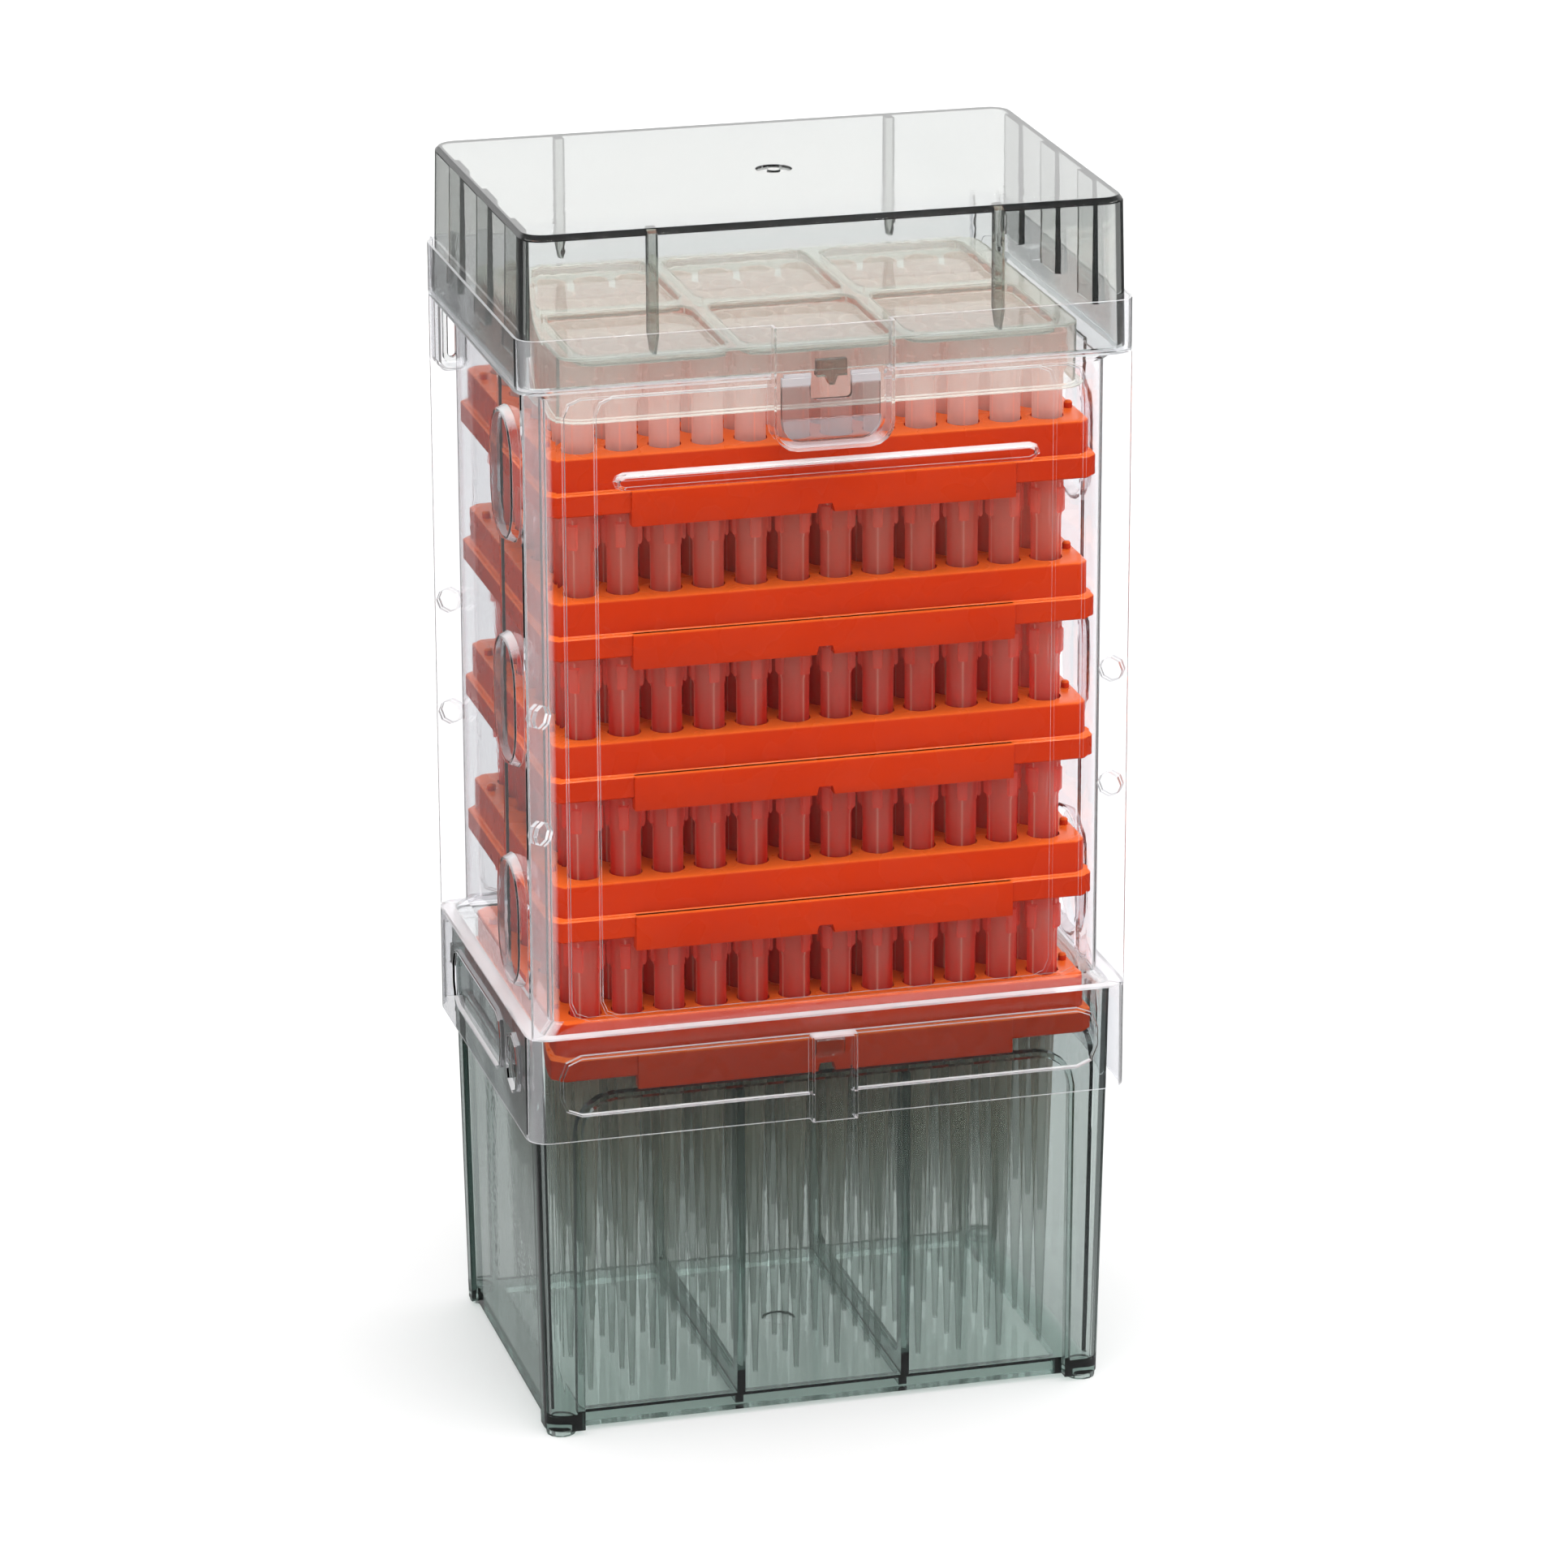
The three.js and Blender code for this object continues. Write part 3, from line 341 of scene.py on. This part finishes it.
def tip_plastic():
    """Natural polypropylene: milky over the rack, and clearer in the point. Its colour is painted
    light: the orange glow that the racks bounce onto it, paler towards the heads and lighter near
    the top rack and under the cover, turning to painted shade down the points."""
    n = material_nodes("natural_tip")
    level = n.attribute("level")
    point = n.range(level, -6, -14, 0, 1)
    rib = n.math("POWER", n.attribute("rib"), 7.0)
    weight = n.add("ShaderNodeLayerWeight")
    weight.inputs["Blend"].default_value = 0.5
    edge = n.math("POWER", weight.outputs["Facing"], 2.0)
    cloud = n.noise(220.0, 0.0, (1, 1, 0.3))
    tall = n.split(n.coordinate("Object"))["Z"]
    # Painted light: the orange glow bounced from the racks, paler towards the heads.
    painted_glow = n.mix_colour(n.range(level, 0, 12, 0, 1), srgb(255, 54, 36), srgb(255, 92, 76))
    # Painted light: the tips grow lighter from this height up, in the gap under the top rack.
    painted_glow = n.mix_colour(n.range(tall, 0.158, 0.172, 0, 0.25), painted_glow, srgb(255, 170, 140))
    # Painted highlight: the heads of the top rack, under the cover, are nearly white.
    painted_glow = n.mix_colour(n.range(tall, 0.2, 0.212, 0, 1), painted_glow, srgb(255, 214, 204))
    painted_glow = n.mix_colour(n.range(cloud, 0.3, 0.7, 0, 0.07), painted_glow, srgb(255, 232, 226))
    # Painted light and shade down the points: a brownish glow from the racks at the top, darker
    # lower down.
    painted_point_shading = n.mix_colour(n.range(level, -15, -70, 0, 1), srgb(186, 164, 148), srgb(132, 142, 136))
    colour = n.mix_colour(point, painted_glow, painted_point_shading)
    colour = n.mix_colour(rib, colour, srgb(255, 190, 172))
    body = n.add("ShaderNodeBsdfPrincipled")
    n.link(colour, body.inputs["Base Color"])
    body.inputs["Specular IOR Level"].default_value = 0.2
    n.link(n.range(cloud, 0.3, 0.7, 0.3, 0.42), body.inputs["Roughness"])
    glow = n.add("ShaderNodeBsdfTranslucent")
    n.link(colour, glow.inputs["Color"])
    milk = n.mix_shader(0.5, body.outputs["BSDF"], glow.outputs["BSDF"])
    through = n.add("ShaderNodeBsdfTransparent")
    passed = n.mix_colour(point, (0.985, 0.978, 0.975), (0.94, 0.945, 0.94))
    n.link(passed, through.inputs["Color"])
    in_point = n.math("MULTIPLY", n.range(level, -20, -60, 0.42, 0.2), point)
    share = n.math("ADD", in_point, n.range(point, 0, 1, 0.55, 0))
    share = n.math("ADD", n.math("MULTIPLY", edge, n.range(point, 0, 1, 0.3, 0.5)), share)
    share = n.math("ADD", share, n.math("MULTIPLY", rib, 0.2))
    bounced = n.add("ShaderNodeLightPath").outputs["Is Diffuse Ray"]
    share = n.math("MULTIPLY", share, n.range(bounced, 0, 1, 1, 0.4))
    return n.finish(n.mix_shader(share, through.outputs["BSDF"], milk))


MOULDED = {"rough": (0.0, 0.05), "wave": 0.02, "wave_scale": 18.0}
FORMED = {"rough": (0.0, 0.06), "wave": 0.12, "wave_scale": 40.0}
THIN = {"rough": (0.02, 0.1), "wave": 0.1, "wave_scale": 60.0, "milk": (0.88, 0.88, 0.80)}

SMOKE = clear_plastic(
    "smoke_moulding", 1.5, 0.01, (0.88, 0.914, 0.90), **MOULDED,
    tint=(0.283, 0.458, 0.408), density=215.0, deep=(0.28, 0.38, 0.36),
)
LID_SMOKE = clear_plastic(
    "lid_moulding", 1.5, 0.015, (0.89, 0.90, 0.90), **MOULDED,
    tint=(0.33, 0.39, 0.345), density=190.0, deep=(0.32, 0.33, 0.28),
)
# The latch's two bands are painted reflections: a pale band near its foot and a brighter one over
# its hinge at the top.
LATCH_SMOKE = clear_plastic(
    "latch_moulding", 1.42, 0.02, (0.9, 0.9, 0.9), **MOULDED,
    tint=(0.10, 0.10, 0.12), density=300.0, highlight_bands=((0.05, 0.33, 0.22), (0.82, 1.1, 0.42)),
)
# The sheet and the tray carry a painted highlight on the ledges that face up and on the upright
# corners.
CLEAR = clear_plastic(
    "clear_sheet", 1.25, 0.0, (0.98, 0.98, 0.98), **FORMED, ledge_highlight=0.5, skin=(0.95, 0.955, 0.975),
)
# The sheet's edge material paints a highlight: a large milky share draws pale lines along the
# rounded edges.
CLEAR_EDGE_HIGHLIGHT = clear_plastic("clear_sheet_edge_highlight", 1.25, 0.45, (0.95, 0.95, 0.95), **FORMED)
TRAY = clear_plastic(
    "clear_tray", 1.22, 0.18, (0.97, 0.97, 0.96), **THIN, ledge_highlight=0.25, skin=(0.965, 0.97, 0.955),
)
# The tray's edge material paints a highlight: a large milky share draws pale lines along the
# rounded edges.
TRAY_EDGE_HIGHLIGHT = clear_plastic("clear_tray_edge_highlight", 1.22, 0.5, (0.95, 0.95, 0.94), **THIN)
ORANGE = orange_plastic()
TIPS = tip_plastic()

# ---------------------------------------------------------------- mesh helpers


def new_piece(name, mesh, material, body):
    ob = bpy.data.objects.new(name, mesh)
    bpy.context.scene.collection.objects.link(ob)
    mesh.materials.append(material)
    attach(ob, body)
    return ob


def smooth(mesh, degrees):
    mesh.polygons.foreach_set("use_smooth", [True] * len(mesh.polygons))
    mesh.set_sharp_from_angle(angle=math.radians(degrees))


def refined(
    node, name, material, body, round_mm, segments=1, shade=None, soften=None, edge=None,
):
    """A finer copy of a moulded node: one skin, flat faces whole, edges slightly rounded.

    shade gives a face's shade from its middle. soften is a test for the vertices of edges to
    round more, and how much. edge is the material of the rounded edges."""
    bm = bmesh.new()
    bm.from_mesh(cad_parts[node].data)
    bmesh.ops.remove_doubles(bm, verts=bm.verts, dist=1.5e-6)
    bmesh.ops.dissolve_limit(
        bm, angle_limit=math.radians(0.6), verts=bm.verts, edges=bm.edges,
        use_dissolve_boundaries=False,
    )
    if soften:
        chosen, width = soften
        edges = [
            e for e in bm.edges
            if all(chosen(v.co / MM) for v in e.verts) and e.calc_face_angle(0) > 0.5
        ]
        bmesh.ops.bevel(
            bm, geom=edges, offset=width * MM, segments=5, affect="EDGES", profile=0.5,
            clamp_overlap=True,
        )
    bm.verts.index_update()
    # The copy is made from plain lists, to leave the imported normals behind.
    mesh = bpy.data.meshes.new(name)
    faces = [[v.index for v in f.verts] for f in bm.faces]
    mesh.from_pydata([v.co[:] for v in bm.verts], [], faces)
    bm.free()
    ob = new_piece(name, mesh, material, body)
    if shade:
        shades = [float(shade(face.center / MM)) for face in mesh.polygons]
        mesh.attributes.new("shade", "FLOAT", "FACE").data.foreach_set("value", shades)
    bevel = ob.modifiers.new("round", "BEVEL")
    bevel.width = round_mm * MM
    bevel.segments = segments
    bevel.limit_method = "ANGLE"
    bevel.angle_limit = math.radians(40)
    bevel.harden_normals = False
    bevel.use_clamp_overlap = True
    if edge:
        mesh.materials.append(edge)
        bevel.material = len(mesh.materials) - 1
    weigh = ob.modifiers.new("weigh", "WEIGHTED_NORMAL")
    weigh.keep_sharp = True
    weigh.weight = 100
    smooth(mesh, 32)
    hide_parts(node)
    return ob


def lathe(profile, sides):
    """Vertices and faces of a profile of (radius, z) turned about the z axis."""
    turns = [2 * math.pi * k / sides for k in range(sides)]
    verts = [(r * math.cos(a), r * math.sin(a), z) for r, z in profile for a in turns]
    faces = []
    for i in range(len(profile) - 1):
        for k in range(sides):
            j = (k + 1) % sides
            faces.append((i * sides + k, i * sides + j, (i + 1) * sides + j, (i + 1) * sides + k))
    return verts, faces


def grid_places():
    """The middles of the ninety-six places of a rack."""
    for i in range(COLUMNS):
        for j in range(ROWS):
            yield (i - (COLUMNS - 1) / 2) * PITCH, (j - (ROWS - 1) / 2) * PITCH


def tip_shape(whole):
    """One tip with its clip wings, and how much each of its vertices is on a rib."""
    profile = TIP_BARREL + (TIP_POINT if whole else TIP_CUT)
    verts, faces = lathe(profile, TIP_SIDES)
    ribs = [
        float(k % (TIP_SIDES // WINGS) == 0 and 3.1 < r < 3.7)
        for r, _ in profile for k in range(TIP_SIDES)
    ]
    for wing in range(WINGS):
        a = 2 * math.pi / WINGS * wing
        c, s = math.cos(a), math.sin(a)
        base = len(verts)
        for r, w, z in WING:
            for side in (-1, 1):
                verts.append((r * c - side * w * s, r * s + side * w * c, z))
        for q in range(base, base + 2 * (len(WING) - 1), 2):
            faces.append((q, q + 1, q + 3, q + 2))
        faces.append(tuple(base + 2 * i for i in range(len(WING))))
        faces.append(tuple(base + 2 * i + 1 for i in reversed(range(len(WING)))))
        ribs += [WING_RIB] * (2 * len(WING))
    return verts, faces, ribs


def tips(rack):
    """The ninety-six tips of a rack, each turned its own way in its hole."""
    verts, faces, ribs = tip_shape(rack in WHOLE_TIPS)
    base = np.array(verts)
    top = deck(rack)
    rng = np.random.default_rng(7)
    all_verts, all_faces = [], []
    for index, (x, y) in enumerate(grid_places()):
        a = rng.uniform(0, math.pi / 2)
        c, s = math.cos(a), math.sin(a)
        turned = np.stack(
            (base[:, 0] * c - base[:, 1] * s, base[:, 0] * s + base[:, 1] * c, base[:, 2]), 1
        )
        all_verts.append((turned + (x, y, top)) * MM)
        shift = index * len(verts)
        all_faces.extend(tuple(v + shift for v in f) for f in faces)
    mesh = bpy.data.meshes.new(rack + "_tips")
    mesh.from_pydata(np.concatenate(all_verts).tolist(), [], all_faces)
    count = COLUMNS * ROWS
    for name, values in (("rib", ribs), ("level", [v[2] for v in verts])):
        mesh.attributes.new(name, "FLOAT", "POINT").data.foreach_set("value", values * count)
    smooth(mesh, 40)
    ob = new_piece(rack + "_tips", mesh, TIPS, "tower")
    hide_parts(rack)


def octagon(half_x, half_y):
    """A rectangle with chamfered, softened corners, anticlockwise from the front left."""
    corners = [
        (-half_x + CHAMFER, -half_y), (half_x - CHAMFER, -half_y),
        (half_x, -half_y + CHAMFER), (half_x, half_y - CHAMFER),
        (half_x - CHAMFER, half_y), (-half_x + CHAMFER, half_y),
        (-half_x, half_y - CHAMFER), (-half_x, -half_y + CHAMFER),
    ]
    points = []
    for i, p in enumerate(corners):
        p = Vector(p)
        before = (Vector(corners[i - 1]) - p).normalized() * CORNER_SOFT
        after = (Vector(corners[(i + 1) % 8]) - p).normalized() * CORNER_SOFT
        points += [p + before, p + (before + after) * 0.28, p + after]
    return points


class Rack:
    """The orange rack: a block over a wider band, pierced by ninety-six holes, with a lip front
    and back."""

    def __init__(self, name):
        self.name = name
        self.top = deck(name)
        self.bm = bmesh.new()
        self.shared = {}
        decks = (0.0, -BLOCK - BAND)
        self.holes(decks)
        rings = self.sides()
        for z, ring, flip in ((decks[0], rings[0], False), (decks[1], rings[-1], True)):
            self.border(z, ring, flip)
        self.bm.normal_update()
        self.lip(-1)
        self.lip(1)
        self.studs()

    def vert(self, x, y, z):
        return self.bm.verts.new((x * MM, y * MM, (z + self.top) * MM))

    def face(self, verts, flip=False):
        return self.bm.faces.new(list(reversed(verts)) if flip else verts)

    def shared_vert(self, x, y, z):
        """A vertex that neighbouring places of the grid share."""
        key = (round(x, 3), round(y, 3), round(z, 3))
        if key not in self.shared:
            self.shared[key] = self.vert(x, y, z)
        return self.shared[key]

    def holes(self, decks):
        """Each hole, with a square of both decks around it."""
        for cx, cy in grid_places():
            rings = []
            for z, flip in zip(decks, (False, True)):
                inner, outer = [], []
                for k in range(HOLE_SIDES):
                    a = 2 * math.pi * k / HOLE_SIDES
                    c, s = math.cos(a), math.sin(a)
                    m = PITCH / 2 / max(abs(c), abs(s))
                    inner.append(self.shared_vert(cx + HOLE_RADIUS * c, cy + HOLE_RADIUS * s, z))
                    outer.append(self.shared_vert(cx + m * c, cy + m * s, z))
                rings.append(inner)
                for k in range(HOLE_SIDES):
                    j = (k + 1) % HOLE_SIDES
                    self.face([inner[k], outer[k], outer[j], inner[j]], flip)
            for k in range(HOLE_SIDES):
                j = (k + 1) % HOLE_SIDES
                self.face([rings[1][k], rings[1][j], rings[0][j], rings[0][k]], True)

    def sides(self):
        """The sides of the block and of the band, as rings from the top down."""
        r = EDGE_ROUND
        steps = [
            (BLOCK_X - r, BLOCK_Y - r, 0.0),
            (BLOCK_X - r * 0.3, BLOCK_Y - r * 0.3, -r * 0.3),
            (BLOCK_X, BLOCK_Y, -r),
            (BLOCK_X, BLOCK_Y, -BLOCK + FILLET),
            (BLOCK_X + FILLET, BLOCK_Y + FILLET, -BLOCK),
            (BAND_X - r, BAND_Y - r, -BLOCK),
            (BAND_X, BAND_Y, -BLOCK - r),
            (BAND_X, BAND_Y, -BLOCK - BAND + r),
            (BAND_X - r, BAND_Y - r, -BLOCK - BAND),
        ]
        rings = [[self.vert(p.x, p.y, z) for p in octagon(x, y)] for x, y, z in steps]
        count = len(rings[0])
        for a, b in zip(rings, rings[1:]):
            for k in range(count):
                j = (k + 1) % count
                self.face([a[k], b[k], b[j], a[j]])
        return rings

    def field_edges(self, z):
        """The boundary of the pierced field at a height: front, right, back and left, each
        anticlockwise."""
        half_x, half_y = COLUMNS * PITCH / 2, ROWS * PITCH / 2
        found = [v for key, v in self.shared.items() if abs(key[2] - z) < 1e-3]

        def edge(axis, value, along, reverse):
            on = [v for v in found if abs(v.co[axis] / MM - value) < 1e-4]
            return sorted(on, key=lambda v: v.co[along] / MM, reverse=reverse)

        return [
            edge(1, -half_y, 0, False), edge(0, half_x, 1, False),
            edge(1, half_y, 0, True), edge(0, -half_x, 1, True),
        ]

    def border(self, z, ring, flip):
        """Joins the pierced field to a ring at the same height, by its sides and its corners."""
        count = len(ring)
        n = count // 8
        for s, field in enumerate(self.field_edges(z)):
            side = [ring[(2 * s * n + k) % count] for k in range(1, n + 2)]
            self.face(side + list(reversed(field)), flip)
            corner = [ring[(2 * s * n + k) % count] for k in range(n + 1, 2 * n + 2)]
            self.face(corner + [field[-1]], flip)

    def lip(self, sign):
        """A plate with a notch in the middle of its foot, in front (-1) or at the back (1)."""
        z0, z1 = -BLOCK, -BLOCK - BAND - LIP_DROP
        outline = [
            (-LIP_HALF, z0), (-LIP_HALF, z1), (-NOTCH_HALF, z1), (-NOTCH_HALF, z1 + NOTCH_HEIGHT),
            (NOTCH_HALF, z1 + NOTCH_HEIGHT), (NOTCH_HALF, z1), (LIP_HALF, z1), (LIP_HALF, z0),
        ]
        y0, y1 = (BAND_Y + LIP_PROUD) * sign, (BAND_Y + LIP_PROUD - LIP_THICK) * sign
        front = [self.vert(x, y0, z) for x, z in outline]
        rear = [self.vert(x, y1, z) for x, z in outline]
        self.face(front, sign > 0)
        self.face(rear, sign < 0)
        for k in range(len(outline)):
            j = (k + 1) % len(outline)
            self.face([front[k], rear[k], rear[j], front[j]], sign > 0)
        edges = set()
        for v in front:
            for e in v.link_edges:
                if e.other_vert(v) in front or e.other_vert(v) in rear:
                    edges.add(e)
        bmesh.ops.bevel(
            self.bm, geom=list(edges), offset=LIP_ROUND * MM, segments=2, affect="EDGES",
            profile=0.5,
        )

    def studs(self):
        """Small stacking studs near the ends."""
        for sx in (-1, 1):
            for sy in (-1, 1):
                verts, faces = lathe(STUD_PROFILE, STUD_SIDES)
                made = [self.vert(sx * STUD_X + x, sy * STUD_Y + y, z) for x, y, z in verts]
                for f in faces:
                    self.face([made[i] for i in f])

    def finish(self):
        bmesh.ops.recalc_face_normals(self.bm, faces=self.bm.faces)
        mesh = bpy.data.meshes.new(self.name)
        self.bm.to_mesh(mesh)
        self.bm.free()
        smooth(mesh, 38)
        ob = new_piece(self.name + "_frame", mesh, ORANGE, "tower")
        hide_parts(self.name)


# ---------------------------------------------------------------- pieces

for rack in RACKS:
    Rack(rack).finish()
    tips(rack)


def base_shade(p):
    """How much darker than the walls: the two rib frames across the base."""
    return 0.35 * (abs(abs(p.x) - BASE_FRAME_X) < 1 and abs(p.y) < BASE_FRAME_DEPTH)


def lid_shade(p):
    """How much darker than the walls: the catch, and the fins inside the front and the back."""
    if p.y < CATCH_Y and abs(p.x) < CATCH_HALF and p.z < CATCH_TOP:
        return 0.9
    return 0.7 * (abs(abs(p.x) - LID_FIN_X) < 1 and abs(p.y) > LID_FIN_DEPTH)


def on_bead(p):
    return abs(abs(p.y) - BEAD_Y) < 0.06 and BEAD_Z[0] < p.z < BEAD_Z[1]


refined("base", "base_box", SMOKE, "tower", 0.25, shade=base_shade)
refined("lid", "lid_cover", LID_SMOKE, "tower", 0.25, shade=lid_shade)
refined("lid_latch", "latch_tab", LATCH_SMOKE, "latch", 0.2)
refined(
    "sleeve", "sleeve_shell", CLEAR, "tower", 0.24, segments=2,
    soften=(on_bead, BEAD_ROUND), edge=CLEAR_EDGE_HIGHLIGHT,
)
refined("tip_tray", "cover_tray", TRAY, "tower", 0.22, edge=TRAY_EDGE_HIGHLIGHT)

# ---------------------------------------------------------------- floor

FLOOR_HALF = 3.0
FLOOR_GLOW = 0.24
INSIDE = 0.28  # what the inside of the nearest clear wall gathers

floor_mesh = bpy.data.meshes.new("floor")
floor_mesh.from_pydata(
    [(x * FLOOR_HALF, y * FLOOR_HALF, 0) for x, y in ((-1, -1), (1, -1), (1, 1), (-1, 1))],
    [], [(0, 1, 2, 3)],
)
floor = bpy.data.objects.new("floor", floor_mesh)
bpy.context.scene.collection.objects.link(floor)
floor.location.z = -0.0001

n = material_nodes("pale_floor")
path = n.add("ShaderNodeLightPath")
matte = n.add("ShaderNodeBsdfDiffuse")
cloud = n.range(n.noise(3.0, 3.0), 0.3, 0.7, 0, 1)
n.link(n.mix_colour(cloud, (0.52, 0.52, 0.52), (0.54, 0.54, 0.54)), matte.inputs["Color"])
seen = n.first_look(path)
glow = n.mix_shader(
    seen, n.white("ShaderNodeEmission", 0), n.white("ShaderNodeEmission", FLOOR_GLOW)
)
shown = n.add("ShaderNodeAddShader")
n.link(matte.outputs[0], shown.inputs[0])
n.link(glow, shown.inputs[1])
# In a mirror the floor is dim: darkest in front, and a little brighter close to the box.
place = n.geometry("Position")
far = n.add("ShaderNodeVectorMath", operation="LENGTH")
n.link(place, far.inputs[0])
near = n.range(far.outputs["Value"], 0.1, 0.2, 0.3, 0.06)
level = n.math("MAXIMUM", n.range(n.beside(place), 0, 1, 0.06, 0.13), near)
level = n.math("MAXIMUM", level, n.math("MULTIPLY", n.inner_look(path), INSIDE))
mirrored = n.math("SUBTRACT", path.outputs["Is Glossy Ray"], seen, True)
floor_mesh.materials.append(
    n.finish(n.mix_shader(mirrored, shown.outputs[0], n.white("ShaderNodeEmission", level)))
)

# ---------------------------------------------------------------- light

# The studio is drawn in the world: a sky, and soft boxes in it. Each soft box is the direction
# that it is in, the angles of its core and of its edge in degrees, and its strength.
SKY = 0.42
SOFTBOXES = [
    ((0.1, -0.1, 1.0), 25, 55, 3.0),
    ((0.15, -0.8, 0.6), 12, 30, 1.2),
    ((-0.8, -0.55, 0.35), 12, 34, 0.9),
    ((0.9, -0.5, 0.3), 10, 30, 0.6),
]
# What glossy faces mirror has its own sky, dim above and in front, and its own soft boxes.
DIM_SKY = 0.12
PALE_SKY = 0.95
PALE_BELOW = (0.62, 0.42)
GLINTS = [
    ((0.24, 0.92, 0.32), 10, 32, 0.6),
    ((0.24, 0.0, 0.97), 10, 24, 30.0),
    ((-0.85, -0.45, 0.3), 6, 12, 5.0),
    ((0.9, -0.45, 0.2), 5, 10, 4.0),
]

world = bpy.data.worlds.new("studio")
bpy.context.scene.world = world
world.cycles.sampling_method = "NONE"
w = Nodes(world, "ShaderNodeOutputWorld")
direction = w.coordinate("Generated")
path = w.add("ShaderNodeLightPath")


def sky(boxes, total):
    for towards, inner, outer, strength in boxes:
        dot = w.dot(direction, Vector(towards).normalized())
        cosines = (math.cos(math.radians(outer)), math.cos(math.radians(inner)))
        box = w.range(dot, *cosines, 0, 1, kind="SMOOTHSTEP")
        total = w.math("ADD", w.math("MULTIPLY", box, strength), total)
    return total


low = w.range(w.split(direction)["Z"], *PALE_BELOW, 0, 1, kind="SMOOTHSTEP")
low = w.math("MULTIPLY", low, w.beside(direction))
lit = w.mix_shader(
    path.outputs["Is Glossy Ray"],
    w.white("ShaderNodeBackground", sky(SOFTBOXES, SKY)),
    w.white("ShaderNodeBackground", sky(GLINTS, w.range(low, 0, 1, DIM_SKY, PALE_SKY))),
)
lit = w.mix_shader(w.inner_look(path), lit, w.white("ShaderNodeBackground", INSIDE))
w.finish(w.mix_shader(w.first_look(path), lit, w.white("ShaderNodeBackground", 1.0)))

# ---------------------------------------------------------------- camera

AZIMUTH, ELEVATION, ROLL = math.radians(14.911), math.radians(18.574), math.radians(-0.192)
TARGET = Vector((1.78, 0, 126.6)) * MM
DISTANCE = 1446.9 * MM
IMAGE_WIDTH = 1932
FOCAL_PIXELS = 8410
SENSOR = 36.0

forward = Vector((
    math.sin(AZIMUTH) * math.cos(ELEVATION),
    math.cos(AZIMUTH) * math.cos(ELEVATION),
    -math.sin(ELEVATION),
))
right = Vector((math.cos(AZIMUTH), -math.sin(AZIMUTH), 0))
up = right.cross(forward)
turned_right = math.cos(ROLL) * right + math.sin(ROLL) * up
turned_up = -math.sin(ROLL) * right + math.cos(ROLL) * up
axes = Matrix((turned_right, turned_up, -forward)).transposed().to_4x4()

camera_data = bpy.data.cameras.new("camera")
camera_data.sensor_width = SENSOR
camera_data.lens = FOCAL_PIXELS / IMAGE_WIDTH * SENSOR
camera_data.clip_start = 0.05
camera_data.clip_end = 20
camera = bpy.data.objects.new("camera", camera_data)
bpy.context.scene.collection.objects.link(camera)
camera.matrix_world = Matrix.Translation(TARGET - forward * DISTANCE) @ axes

scene = bpy.context.scene
scene.camera = camera
scene.view_settings.view_transform = "Standard"
scene.cycles.max_bounces = 14
scene.cycles.transmission_bounces = 14
scene.cycles.transparent_max_bounces = 64
scene.cycles.glossy_bounces = 3
scene.cycles.diffuse_bounces = 3
